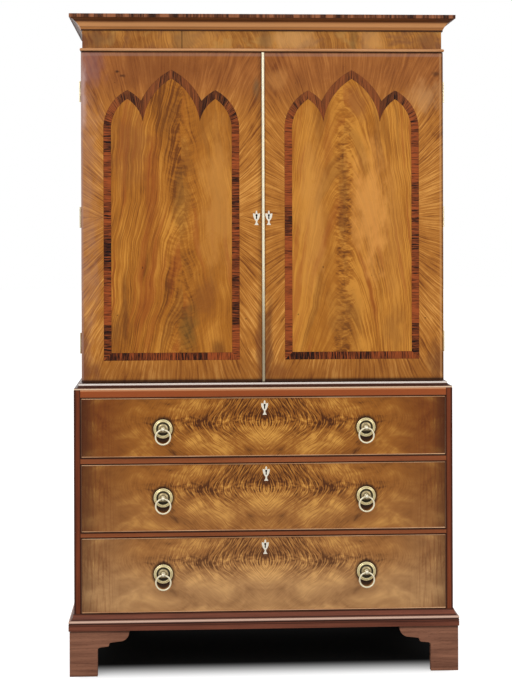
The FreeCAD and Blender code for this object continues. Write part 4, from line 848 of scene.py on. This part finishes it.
def keyhole_soil():
    """Near-black painted shade for the bottom of a keyhole and the other pockets and faces where light hardly
    reaches.
    """
    def build(web):
        dust = web.noise(web.place(), 700.0)
        return web.blend(dust, (0.001, 0.001, 0.001), (0.006, 0.005, 0.004)), 0.9, dust
    return material("keyhole_soil", build, {"Specular IOR Level": 0.1})


def bone():
    """Polished bone: nearly white, with faint yellow clouds and fine grey canals."""
    def build(web):
        clouds = web.noise(web.place(), 120.0)
        canals = web.noise(web.place() * (900.0, 900.0, 140.0), 1.0, 1.0)
        body = web.blend(clouds.spread(0.5, 0.75, 0.0, 0.25), colours().bone, shade(226, 208, 172))
        body = body.stained(canals.spread(0.62, 0.72, 0.0, 0.25), (170, 158, 140))
        return body, clouds * 0.2 + 0.25, canals
    return material("bone", build, {"Specular IOR Level": 0.5}, 0.1)


# ------------------------------------------------------------------ meshes

def closed_shells(node):
    """A CAD node's closed solids, each as (corners, triangles), its corners merged.

    The node lists its solids one after another. An edge counts +1 one way and -1 the other, and
    a solid ends at each triangle where the sums of all edges so far are zero again.
    """
    mesh = frame["nodes"][node].data
    points = np.empty(len(mesh.vertices) * 3, np.float32)
    mesh.vertices.foreach_get("co", points)
    mesh.calc_loop_triangles()
    corners = np.empty(len(mesh.loop_triangles) * 3, np.int32)
    mesh.loop_triangles.foreach_get("vertices", corners)
    points = np.round(points.reshape(-1, 3).astype(float), 7)
    unique, merged = np.unique(points, axis=0, return_inverse=True)
    triangles = merged.reshape(-1)[corners].reshape(-1, 3)
    edges = triangles[:, [0, 1, 1, 2, 2, 0]].reshape(-1, 2)
    direction = np.where(edges[:, 0] < edges[:, 1], 1, -1)
    order = np.lexsort((edges.max(1), edges.min(1)))
    change = np.diff(np.abs(np.cumsum(direction[order])), prepend=0)
    still_open = np.cumsum(np.bincount(order // 3, weights=change, minlength=len(triangles)))
    ends = np.flatnonzero(np.abs(still_open) < 0.5) + 1
    if not len(ends) or ends[-1] != len(triangles):
        raise RuntimeError(f"{node} isn't closed")
    solids = []
    for solid in np.split(triangles, ends[:-1]):
        used, local = np.unique(solid, return_inverse=True)
        solids.append((unique[used], local.reshape(-1, 3)))
    return solids


def along_the_grain(points, draw):
    """Board coordinates: the longest side first, then the next and the thickness, measured from
    the board's middle and moved by a random amount, so that no two boards match."""
    low, high = points.min(0), points.max(0)
    order = np.argsort(low - high, kind="stable")
    return (points - (low + high) / 2)[:, order] + draw.uniform(-4, 4, 3)


def put(name, data):
    """A new object in the scene."""
    made = bpy.data.objects.new(name, data)
    bpy.context.scene.collection.objects.link(made)
    return made


def add_piece(name, mesh, body, nodes=()):
    """A piece that moves with a body and may stand for nodes."""
    piece = put(name, mesh)
    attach(piece, body)
    if nodes:
        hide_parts(*nodes)
    return piece


def finish_for(node, mesh):
    """The piece that is shown in place of a node."""
    return add_piece(node + "_finish", mesh, BODY_OF[node], [node])


def smooth_but_for_corners(mesh):
    mesh.shade_smooth()
    mesh.set_sharp_from_angle(angle=SMOOTH_WITHIN)


@contextlib.contextmanager
def edited(mesh):
    """The mesh opened for bmesh's tools, and written back and shaded afterwards."""
    shell = bmesh.new()
    shell.from_mesh(mesh)
    yield shell
    shell.to_mesh(mesh)
    shell.free()
    smooth_but_for_corners(mesh)


def board_mesh(name, points, faces, domain, board, materials):
    """A mesh with board coordinates on its points or on its faces' corners."""
    mesh = bpy.data.meshes.new(name)
    mesh.from_pydata(points, [], faces)
    mesh.attributes.new(BOARD, "FLOAT_VECTOR", domain).data.foreach_set("vector", board.ravel())
    for item in materials:
        mesh.materials.append(item)
    return mesh


def ease(piece, width):
    """A small bevel along every sharp edge of a piece."""
    bevel = piece.modifiers.new("Eased edges", "BEVEL")
    bevel.width = width
    bevel.segments = 2
    bevel.limit_method = "ANGLE"
    bevel.angle_limit = EASED_FROM
    bevel.harden_normals = True


def finished(node, materials, choose=None, easing=None):
    """A merged copy of a CAD node with eased edges, which stands for the node.

    choose(centres, normals) gives each triangle's place in the list of materials.
    """
    draw = np.random.default_rng(sum(map(ord, node)))
    points, faces, boards, count = [], [], [], 0
    for corners, triangles in closed_shells(node):
        points.append(corners)
        faces.append(triangles + count)
        boards.append(along_the_grain(corners, draw))
        count += len(corners)
    points, faces, boards = map(np.concatenate, (points, faces, boards))
    mesh = board_mesh(node + "_finished", points, faces, "POINT", boards, materials)
    if choose:
        a, b, c = (points[faces[:, corner]] for corner in range(3))
        normals = np.cross(b - a, c - a)
        normals /= np.maximum(np.linalg.norm(normals, axis=1, keepdims=True), 1e-12)
        chosen = choose((a + b + c) / 3, normals).astype(np.int32)
        mesh.polygons.foreach_set("material_index", chosen)
    with edited(mesh) as shell:
        bmesh.ops.dissolve_limit(shell, angle_limit=FLAT_WITHIN, verts=shell.verts, edges=shell.edges,
                                 delimit={"MATERIAL"})
    ease(finish_for(node, mesh), sizes().easing if easing is None else easing)


def grid_mesh(name, points, board, closed=(False, False), materials=()):
    """A mesh from a grid of points (rows, columns, 3). A closed direction joins its last row or
    column to its first, rows that meet in one point become a pole, and board gives each face
    corner's board coordinates, with one more row or column where the grid is closed."""
    rows, columns = points.shape[:2]
    row, column = np.meshgrid(np.arange(rows - (not closed[0])), np.arange(columns - (not closed[1])),
                              indexing="ij")
    steps = ((0, 0), (1, 0), (1, 1), (0, 1))
    corners = [((row + i) % rows) * columns + (column + j) % columns for i, j in steps]
    mesh = board_mesh(name, points.reshape(-1, 3), np.stack(corners, -1).reshape(-1, 4), "CORNER",
                      np.stack([board[row + i, column + j] for i, j in steps], 2), materials)
    with edited(mesh) as shell:
        bmesh.ops.remove_doubles(shell, verts=shell.verts, dist=WELD)
        bmesh.ops.dissolve_degenerate(shell, edges=shell.edges, dist=WELD)
        bmesh.ops.holes_fill(shell, edges=[edge for edge in shell.edges if edge.is_boundary])
        bmesh.ops.recalc_face_normals(shell, faces=shell.faces)
    return mesh


def bulge(start, end, height, count=7):
    """Points from start to end on a parabola that stands height off the chord, to its left."""
    start, end = np.array(start, float), np.array(end, float)
    along = end - start
    left = np.array([-along[1], along[0]]) / np.linalg.norm(along)
    step = np.linspace(0, 1, count)[:, None]
    return start + along * step + left * (4 * height * step * (1 - step))


def outline(*stretches):
    """One row of points from several stretches, with the points that they share kept once."""
    row = np.concatenate([np.atleast_2d(np.array(stretch, float)) for stretch in stretches])
    apart = np.linalg.norm(np.diff(row, axis=0), axis=1) > WELD
    return row[np.concatenate([[True], apart])]


def around(count):
    """Angles of a full turn in equal steps."""
    return np.linspace(0, 2 * np.pi, count, endpoint=False)


def turned(name, profile, place, materials, facing=-1, count=64):
    """A turning about the front-to-back axis: (radius, height off the surface) swept round. The
    board attribute holds the radius and how far each place is above the middle."""
    angle = around(count)
    radius, height = profile[:, 0], profile[:, 1]
    points = np.stack([place[0] + np.outer(np.cos(angle), radius),
                       np.broadcast_to(place[1] + facing * height, (count, len(profile))),
                       place[2] + np.outer(np.sin(angle), radius)], -1)
    board = np.zeros((count + 1, len(profile), 3))
    board[..., 0] = radius
    board[..., 1] = np.outer(np.sin(np.append(angle, 0)), radius)
    return grid_mesh(name, points, board, (True, False), materials)


def joined(name, meshes):
    """One mesh from several."""
    shell = bmesh.new()
    for mesh in meshes:
        shell.from_mesh(mesh)
    whole = meshes[0].copy()
    shell.to_mesh(whole)
    shell.free()
    whole.name = name
    smooth_but_for_corners(whole)
    for mesh in meshes:
        bpy.data.meshes.remove(mesh)
    return whole


def block(name, low, high):
    """A box from its lowest and highest corners, as a grid of its eight corners."""
    low, high = np.array(low), np.array(high)
    x, y, z = np.meshgrid(*np.stack([low, high]).T, indexing="ij")
    points = np.stack([x, y, z], -1).reshape(-1, 3)
    faces = [(0, 1, 3, 2), (4, 6, 7, 5), (0, 4, 5, 1), (2, 3, 7, 6), (0, 2, 6, 4), (1, 5, 7, 3)]
    mesh = bpy.data.meshes.new(name)
    mesh.from_pydata(points, [], faces)
    return mesh


def carve(piece, cutter):
    """Cuts the cutter's mesh out of a piece for good."""
    tool = put("cutter", cutter)
    boolean = piece.modifiers.new("Cut", "BOOLEAN")
    boolean.operation = "DIFFERENCE"
    boolean.solver = "EXACT"
    boolean.object = tool
    bpy.context.view_layer.update()
    graph = bpy.context.evaluated_depsgraph_get()
    result = bpy.data.meshes.new_from_object(piece.evaluated_get(graph))
    piece.modifiers.remove(boolean)
    old, piece.data = piece.data, result
    bpy.data.meshes.remove(old)
    bpy.data.objects.remove(tool)
    bpy.data.meshes.remove(cutter)
    smooth_but_for_corners(piece.data)


# ------------------------------------------------------------------ doors

class Arches:
    """The three pointed arches of one door, from the box of its banding."""

    def __init__(self, hand):
        low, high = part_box(f"{hand}_door_banding")
        leaf_low, leaf_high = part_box(f"{hand}_door_leaf")
        given = sizes()
        self.middle = (low.x + high.x) / 2
        self.half = (high.x - low.x) / 2
        self.foot, self.apex = low.z, high.z
        self.front, self.depth = low.y, high.y
        self.spring = leaf_high.z - given.spring_drop
        self.side_half = (self.half - given.middle_half + given.arch_overlap) / 2
        self.side_middle = self.half - self.side_half
        self.leaf_low, self.leaf_high = leaf_low, leaf_high

    def flank(self, centre, radius, start, end, count):
        """An arc about (centre, spring) between two distances from the door's middle line."""
        angles = np.linspace(math.acos((start - centre) / radius),
                             math.acos((end - centre) / radius), count)
        return np.stack([centre + radius * np.cos(angles), self.spring + radius * np.sin(angles)], -1)

    def line(self, inset, count=40):
        """The closed outline as (x, z), drawn in by inset, from the middle of its foot round."""
        given = sizes()
        outer = self.side_middle + self.side_half - given.side_radius
        inner = self.side_middle - self.side_half + given.side_radius
        middle = given.middle_half - given.middle_radius
        side_radius = given.side_radius - inset
        middle_radius = given.middle_radius - inset
        between = inner - middle
        cusp = middle + (middle_radius ** 2 - side_radius ** 2 + between ** 2) / (2 * between)
        foot = self.foot + inset
        leg = self.half - inset
        right = np.concatenate([
            np.linspace((0, foot), (leg, foot), count)[:-1],
            np.linspace((leg, foot), (leg, self.spring), count)[:-1],
            self.flank(outer, side_radius, leg, self.side_middle, count)[:-1],
            self.flank(inner, side_radius, self.side_middle, cusp, count)[:-1],
            self.flank(middle, middle_radius, cusp, 0, count),
        ])
        left = right[-2:0:-1] * (-1, 1)
        return np.concatenate([right, left]) + (self.middle, 0)

    def holds(self, x, z):
        """Which points lie inside the middle line of the banding: below the springing, between
        the legs; above it, inside both circles of one of the arches."""
        given = sizes()
        inset = given.band_width / 2
        across = np.abs(x - self.middle)
        up = z - self.spring
        inside = (across < self.half - inset) & (up <= 0) & (z > self.foot + inset)
        for offset, half, radius in ((0, given.middle_half, given.middle_radius),
                                     (self.side_middle, self.side_half, given.side_radius)):
            near = np.hypot(across - offset - half + radius, up) < radius - inset
            far = np.hypot(across - offset + half - radius, up) < radius - inset
            inside |= (up > 0) & near & far
        return inside


def door_leaf(hand):
    arches = Arches(hand)
    woods = [door_border_wood(hand, arches), straight_wood("carcase_mahogany"), keyhole_soil(),
             door_field_wood(hand, arches)]

    def choose(centres, normals):
        inside = arches.holds(centres[:, 0], centres[:, 2])
        return front_or_pocket(centres, normals, arches.front, np.where(inside, 3, 0))

    finished(f"{hand}_door_leaf", woods, choose, sizes().inlay_easing)


def front_or_pocket(centres, normals, front, veneer=0):
    """The veneer on the front, 2 (the near-black painted shade) in the pockets let into it, and 1 on the other
    faces.
    """
    frontal = normals[:, 1] < -FRONTAL
    deep = centres[:, 1] > front + WELD
    pocket = frontal & deep & (centres[:, 1] < front + DEEPEST_POCKET)
    return np.where(pocket, 2, np.where(frontal & ~deep, veneer, 1))


def door_banding(hand):
    """The band between two outlines of the arches, as a closed four-sided section carried
    round: back and front of the outer line, then front and back of the inner one."""
    arches = Arches(hand)
    outer = arches.line(0)
    inner = arches.line(sizes().band_width)
    front = arches.front - sizes().band_proud
    points = np.stack([np.insert(line, 1, depth, axis=1) for line, depth in (
        (outer, arches.depth), (outer, front), (inner, front), (inner, arches.depth))], 1)
    middle = (outer + inner) / 2
    steps = np.linalg.norm(np.diff(middle, axis=0, append=middle[:1]), axis=1)
    length = np.concatenate([[0], np.cumsum(steps)])
    board = np.zeros((len(outer) + 1, 5, 3))
    board[..., 0] = length[:, None]
    board[..., 1] = np.array([0, 0, 1, 1, 0]) * sizes().band_width
    finish_for(f"{hand}_door_banding", grid_mesh(f"{hand}_banding", points, board, (True, True),
                                                 [banding_wood(hand, arches)]))


# ------------------------------------------------------------------ drawers and handles

def drawer_front(number):
    node = f"drawer_{number}_front"
    low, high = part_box(node)
    urn_low, urn_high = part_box(f"drawer_{number}_escutcheon")
    given = sizes()
    # Where the handles' painted shadows go: round each backplate and inside each ring.
    handle_shadows = []
    for hand, _ in HANDS:
        x, _, z = JOINTS[f"drawer_{number}_{hand}_ring_swing"]["pos_m"]
        middle, radius, wire = ring_sizes(number, hand)
        handle_shadows += [(x, z + given.ring_hole_drop, given.plate_radius * 1.12),
                  (middle.x, middle.z, (radius + wire) * 0.74)]
    veneer = drawer_wood(number, (urn_low.x + urn_high.x) / 2, high.z, (high.x - low.x) / 2, handle_shadows)

    def choose(centres, normals):
        return front_or_pocket(centres, normals, low.y)

    finished(node, [veneer, straight_wood("lining_oak"), keyhole_soil()], choose, given.inlay_easing)


def cockbead(number):
    """A bead mitred round the drawer front: a section with a half-round nose, carried round the
    four corners of a rectangle. The lock's bolt passes through its top length."""
    node = f"drawer_{number}_cockbead"
    low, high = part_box(node)
    _, front_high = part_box(f"drawer_{number}_front")
    thick = high.z - front_high.z
    nose = thick / 2
    round_nose = np.linspace(0, np.pi, 9)
    across = np.concatenate([[0], nose - nose * np.cos(round_nose), [thick]])
    depth = np.concatenate([[high.y], low.y + nose - nose * np.sin(round_nose), [high.y]])
    signs = np.array([(-1, -1), (1, -1), (1, 1), (-1, 1)])
    middle, half = np.array((low + high) / 2)[[0, 2]], np.array((high - low) / 2)[[0, 2]]
    corner = middle + signs[:, None] * (half - across[None, :, None])
    points = np.stack([corner[..., 0], np.broadcast_to(depth, corner.shape[:2]), corner[..., 1]], -1)
    run = np.concatenate([[0], np.cumsum(np.tile(half, 2)) * 2])
    board = np.zeros((5, len(across) + 1, 3))
    board[..., 0] = run[:, None]
    board[..., 1] = np.append(across, 0)
    mesh = grid_mesh(f"drawer_{number}_bead", points, board, (True, True), [cockbead_wood(number)])
    bolt_low, bolt_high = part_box(f"drawer_{number}_lock_bolt")
    play = 0.0003
    carve(finish_for(node, mesh),
          block("slot", (bolt_low.x - play, bolt_low.y - play, front_high.z - thick),
                (bolt_high.x + play, bolt_high.y + play, high.z + thick)))


def plate_profile():
    """Half a backplate with its stem and knob, as (radius, height): a flat edge, a rounded rim
    with an incised line, a groove, a domed boss, a flared stem and a ball."""
    given = sizes()
    rim, ball, reach = given.plate_radius, given.knob_radius, given.knob_standoff
    stem = ball * 0.6
    meet = math.acos(stem / ball)
    angles = np.linspace(-meet, np.pi / 2, 18)
    knob = np.stack([ball * np.cos(angles), reach + ball * np.sin(angles)], -1)
    stretches = [[(0, 0), (rim, 0)]]
    last = (rim, 0.0009)
    for point, height, count in (((rim - 0.0034, 0.0024), -0.0007, 7), ((rim - 0.0042, 0.0024), 0.0004, 5),
                                 ((rim - 0.0098, 0.0016), -0.0013, 9), ((rim - 0.0116, 0.0016), 0.0009, 7),
                                 ((stem + 0.0028, 0.0052), -0.0009, 12),
                                 ((stem, reach - ball * math.sin(meet)), 0.0012, 7)):
        stretches.append(bulge(last, point, height, count))
        last = point
    return outline(*stretches, knob)


def ring_sizes(number, hand):
    """A ring's middle, its radius to the middle of the wire, and the wire's radius."""
    low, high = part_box(f"drawer_{number}_{hand}_ring")
    wire = (high.y - low.y) / 2
    return (low + high) / 2, (high.x - low.x) / 2 - wire, wire


def ring(number, hand):
    """A ring: a circle of wire whose middle runs round a larger circle."""
    middle, radius, wire = ring_sizes(number, hand)
    turn = around(96)[:, None]
    tube = around(20)[None, :]
    reach = radius + wire * np.cos(tube)
    points = np.stack([middle.x + reach * np.cos(turn), middle.y + wire * np.sin(tube) + 0 * turn,
                       middle.z + reach * np.sin(turn)], -1)
    node = f"drawer_{number}_{hand}_ring"
    finish_for(node, grid_mesh(node, points, np.zeros((97, 21, 3)), (True, True), [brass()]))


def handle_plates(number):
    """Both plates of a drawer in one piece, their knobs bored for the rings."""
    given = sizes()
    node = f"drawer_{number}_handle_plates"
    _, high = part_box(node)
    angle = around(32)
    plates, bores = [], []
    for hand, _ in HANDS:
        x, y, z = JOINTS[f"drawer_{number}_{hand}_ring_swing"]["pos_m"]
        plates.append(turned(f"plate_{hand}", plate_profile(), (x, high.y, z + given.ring_hole_drop),
                             [plate_brass()]))
        _, radius, wire = ring_sizes(number, hand)
        hole = wire + given.knob_radius ** 2 / (radius * 4) + given.ring_play
        ends = x + np.array([[-2], [2]]) * given.knob_radius
        bore = np.stack(np.broadcast_arrays(ends, y + hole * np.cos(angle), z + hole * np.sin(angle)), -1)
        bores.append(grid_mesh("bore", bore, np.zeros((2, 33, 3)), (False, True)))
    carve(finish_for(node, joined(node, plates)), joined("bores", bores))


def screws(name, body, places, facing):
    """Countersunk screws with a slot in each head; facing is -1 for the front, 1 for the back."""
    radius = sizes().screw_radius
    dome, flatness = 0.0003, 0.00006
    profile = outline(bulge((radius, 0), (0, dome), -flatness, 6))
    heads = [turned("head", profile, spot, [screw_steel()], facing, 20) for spot in places]
    half_slot = np.array([radius * 1.2, 0.0005, 0.0004])
    slots = []
    for spot in places:
        middle = np.array(spot) + (0, facing * half_slot[1], 0)
        slots.append(block("slot", middle - half_slot, middle + half_slot))
    carve(add_piece(name, joined(name, heads), body), joined("slots", slots))


# ------------------------------------------------------------------ operators

class PieceMaker:
    """What every operator here shares."""
    bl_options = {"REGISTER", "UNDO"}


class PRESS_OT_carcase(PieceMaker, Operator):
    """Finish the boards of the chest, the cupboard and the cornice frame"""
    bl_idname = "press.carcase"
    bl_label = "Carcase"

    def execute(self, context):
        finished("cupboard_sides", [straight_wood("carcase_mahogany")])
        finished("chest_sides", [stile_wood()])
        finished("drawer_rails", [rail_wood()])
        for node in ("cupboard_top_and_bottom", "tray_bearers", "chest_top_and_bottom",
                     "runners_and_dust_boards"):
            finished(node, [straight_wood("lining_oak")])
        for node in ("cupboard_back", "chest_back"):
            finished(node, [straight_wood("back_pine")])
        low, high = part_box("cornice_frame")

        def outside(centres, normals):
            faced = (np.abs(centres[:, 0]) > high.x - WELD) | (centres[:, 1] < low.y + WELD)
            return np.where(faced, 0, 1)

        finished("cornice_frame", [frieze_wood(), straight_wood("back_pine")], outside)
        return {"FINISHED"}


class PRESS_OT_mouldings(PieceMaker, Operator):
    """Finish the cornice, the bead, the waist and the plinth"""
    bl_idname = "press.mouldings"
    bl_label = "Mouldings"

    def execute(self, context):
        for node, wood in (("cornice_moulding", straight_wood("cornice_mahogany")),
                           ("waist_moulding", straight_wood("waist_mahogany")),
                           ("plinth_moulding", straight_wood("plinth_mahogany")),
                           ("frieze_bead", straight_wood("bead_mahogany")),
                           ("cornice_crossbanding", crossband_wood())):
            finished(node, [wood], easing=sizes().easing / 2)
        return {"FINISHED"}


class PRESS_OT_feet(PieceMaker, Operator):
    """Finish the bracket feet"""
    bl_idname = "press.feet"
    bl_label = "Feet"

    def execute(self, context):
        for node in ("front_feet", "back_feet"):
            finished(node, [straight_wood("foot_mahogany")])
        return {"FINISHED"}


class PRESS_OT_doors(PieceMaker, Operator):
    """Make the veneered doors with their arched banding and keyhole plates"""
    bl_idname = "press.doors"
    bl_label = "Doors"

    def execute(self, context):
        for hand, _ in HANDS:
            door_leaf(hand)
            door_banding(hand)
            finished(f"{hand}_door_escutcheon", [bone()], easing=sizes().inlay_easing)
        finished("astragal", [strip_brass()], easing=sizes().inlay_easing)
        return {"FINISHED"}


class PRESS_OT_hinges(PieceMaker, Operator):
    """Finish the butt hinges and set their screws"""
    bl_idname = "press.hinges"
    bl_label = "Hinges"
    inset = 0.009            # metres from a leaf's inner edge to its screws
    zigzag = 0.003           # metres by which the middle screw stands out of line
    longest = 0.03           # metres of a leaf's height that the screws reckon with

    def execute(self, context):
        finished("carcase_hinges_and_pins", [hinge_brass()], easing=sizes().inlay_easing)
        for hand, side in HANDS:
            node = f"{hand}_door_hinge_leaves"
            finished(node, [hinge_brass()], easing=sizes().inlay_easing)
            _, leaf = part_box(f"{hand}_door_leaf")
            post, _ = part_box("cupboard_sides")
            spots = []
            for corners, _ in closed_shells(node):
                low, high = corners.min(0), corners.max(0)
                inner = low[0] if side > 0 else high[0]
                spacing = min(high[2] - low[2], self.longest) * 0.72
                for step in (-1, 0, 1):
                    inset = self.inset + self.zigzag * (step * step - 0.5)
                    spots.append((inner + side * inset, (low[2] + high[2]) / 2 + step * spacing))
            for name, body, y, facing in (("door", BODY_OF[node], leaf.y, 1),
                                          ("post", BODY_OF["cupboard_sides"], post.y, -1)):
                screws(f"{hand}_{name}_screws", body, [(x, y, z) for x, z in spots], facing)
        return {"FINISHED"}


class PRESS_OT_locks(PieceMaker, Operator):
    """Finish the lock cases and their bolts"""
    bl_idname = "press.locks"
    bl_label = "Locks"

    def execute(self, context):
        for lock in ("door", *(f"drawer_{number}" for number in DRAWERS)):
            # The front faces of each lock case get the near-black painted shade seen through the keyhole.
            finished(f"{lock}_lock_case", [lock_steel(), keyhole_soil()],
                     lambda centres, normals: normals[:, 1] < -FRONTAL, sizes().inlay_easing)
            finished(f"{lock}_lock_bolt", [hinge_brass()], easing=sizes().easing / 2)
        return {"FINISHED"}


class PRESS_OT_drawers(PieceMaker, Operator):
    """Make the drawers: flame fronts, cockbeads, dovetailed sides and keyhole plates"""
    bl_idname = "press.drawers"
    bl_label = "Drawers"

    def execute(self, context):
        for number in DRAWERS:
            drawer_front(number)
            cockbead(number)
            finished(f"drawer_{number}_sides_and_bottom", [straight_wood("lining_oak")],
                     easing=sizes().easing / 2)
            finished(f"drawer_{number}_escutcheon", [bone()], easing=sizes().inlay_easing)
        return {"FINISHED"}


class PRESS_OT_handles(PieceMaker, Operator):
    """Make the turned backplates and the rings that hang from them"""
    bl_idname = "press.handles"
    bl_label = "Handles"

    def execute(self, context):
        for number in DRAWERS:
            handle_plates(number)
            for hand, _ in HANDS:
                ring(number, hand)
        return {"FINISHED"}


class PRESS_OT_trays(PieceMaker, Operator):
    """Finish the linen trays"""
    bl_idname = "press.trays"
    bl_label = "Linen trays"

    def execute(self, context):
        for number in TRAYS:
            finished(f"linen_tray_{number}", [straight_wood("lining_oak")])
        return {"FINISHED"}


class PRESS_OT_stage(PieceMaker, Operator):
    """Set the floor, the lights and the camera"""
    bl_idname = "press.stage"
    bl_label = "Stage"

    def execute(self, context):
        scene = context.scene
        given = scene.press_stage
        scene.view_settings.view_transform = "Standard"
        floor = block("floor", (-30, -30, -0.02), (30, 30, 0))
        floor.materials.append(material("floor_paper", floor_paper, {"Specular IOR Level": 0.0}))
        put("floor", floor)
        for name, spot, aim, watts in (
                ("key_softbox", (-2.6, -3.6, 3.4), (0, 0, 1.1), given.key),
                ("fill_softbox", (2.8, -3.4, 2.2), (0, 0, 0.9), given.fill)):
            lamp = bpy.data.lights.new(name, "AREA")
            lamp.size = SOFTBOX
            lamp.energy = watts
            piece = put(name, lamp)
            piece.location = spot
            x, y, z = np.array(spot) - aim
            piece.rotation_euler = (math.atan2(math.hypot(x, y), z), 0, math.atan2(x, -y))
        room_light(scene, given)
        photographer(scene, given)
        return {"FINISHED"}


def floor_paper(web):
    """White paper, with a painted shadow where the press stands over it and the light can't reach."""
    x, y, _ = web.place().parts()
    soft = 0.09
    low, high = CAD_BOX
    under = (abs(x).spread(high.x - soft * 0.5, high.x, 1.0, 0.0)
             * y.spread(low.y - 0.05, low.y + soft * 1.5) * y.spread(high.y, high.y + soft, 1.0, 0.0))
    shader = web.tree.nodes["Principled BSDF"]
    web.feed(shader.inputs["Emission Strength"], 0.8)
    web.feed(shader.inputs["Emission Color"], web.grey(web.camera_sees() * (1.0 - under)))
    body = web.blend(under * 0.97, (0.5, 0.5, 0.5), (0.0, 0.0, 0.0))
    return body, 0.9, web.noise(web.place(), 900.0, 1.0)


def room_light(scene, given):
    """A pale room: white ahead and above, dimmer behind the camera."""
    scene.world = bpy.data.worlds.new("studio")
    scene.world.use_nodes = True
    web = Web(scene.world.node_tree)
    _, y, _ = web.value("ShaderNodeTexCoord", output="Generated").parts()
    level = web.math("MAXIMUM", y.spread(-0.35, 0.3, given.room, 1.0), web.camera_sees())
    background = web.tree.nodes["Background"]
    web.feed(background.inputs["Color"], web.grey(level))
    web.feed(background.inputs["Strength"], 1.0)


def photographer(scene, given):
    """The camera: upright, swung to the side, then rolled about its line of sight."""
    camera = bpy.data.cameras.new("camera")
    camera.lens = given.lens
    camera.shift_y = -given.drop
    piece = put("camera", camera)
    piece.location = (given.eye_x, given.eye_y, given.eye_z)
    piece.rotation_mode = "QUATERNION"
    piece.rotation_quaternion = (Euler((math.pi / 2, 0, -given.swing)).to_quaternion()
                                 @ Quaternion((0, 0, 1), -given.roll))
    scene.camera = piece


class PressStage(PropertyGroup):
    key: share("Key light", 70, "Power of the main softbox", top=1000)
    fill: share("Fill light", 34, "Power of the second softbox", top=1000)
    room: share("Room", 0.62, "Brightness of the room behind the camera", top=2)
    lens: share("Lens", 76.58, "Focal length in millimetres on a 36 mm picture", top=500)
    drop: share("Lens drop", 0.1656, "How far the lens is lowered, as a share of the picture")
    eye_x: position("Camera right", -0.247, "Camera to the right")
    eye_y: position("Camera back", -4.8, "Camera to the back")
    eye_z: position("Camera height", 1.35, "Camera over the floor")
    swing: rotation("Swing", math.radians(2.82), "Camera turned to the right")
    roll: rotation("Roll", 0.00279, "Camera rolled clockwise")


OPERATORS = (PRESS_OT_carcase, PRESS_OT_mouldings, PRESS_OT_feet, PRESS_OT_doors, PRESS_OT_hinges,
             PRESS_OT_locks, PRESS_OT_drawers, PRESS_OT_handles, PRESS_OT_trays, PRESS_OT_stage)


class PRESS_PT_panel(Panel):
    """Lists the pieces of the linen press"""
    bl_idname = "PRESS_PT_panel"
    bl_label = "Linen Press"
    bl_space_type = "VIEW_3D"
    bl_region_type = "UI"
    bl_category = "Linen Press"

    def draw(self, context):
        for operator in OPERATORS:
            self.layout.operator(operator.bl_idname)
        for group in (context.scene.press_sizes, context.scene.press_colours,
                      context.scene.press_stage):
            column = self.layout.column(align=True)
            for key in type(group).__annotations__:
                column.prop(group, key)


GROUPS_OF_SETTINGS = {"press_sizes": PressSizes, "press_colours": PressColours,
                      "press_stage": PressStage}
CLASSES = (*GROUPS_OF_SETTINGS.values(), *OPERATORS, PRESS_PT_panel)


def register():
    for item in CLASSES:
        bpy.utils.register_class(item)
    for name, group in GROUPS_OF_SETTINGS.items():
        setattr(bpy.types.Scene, name, PointerProperty(type=group))


def unregister():
    for name in GROUPS_OF_SETTINGS:
        delattr(bpy.types.Scene, name)
    for item in reversed(CLASSES):
        bpy.utils.unregister_class(item)


def main():
    register()
    for operator in OPERATORS:
        family, name = operator.bl_idname.split(".")
        getattr(getattr(bpy.ops, family), name)()


if __name__ == "__main__":
    main()
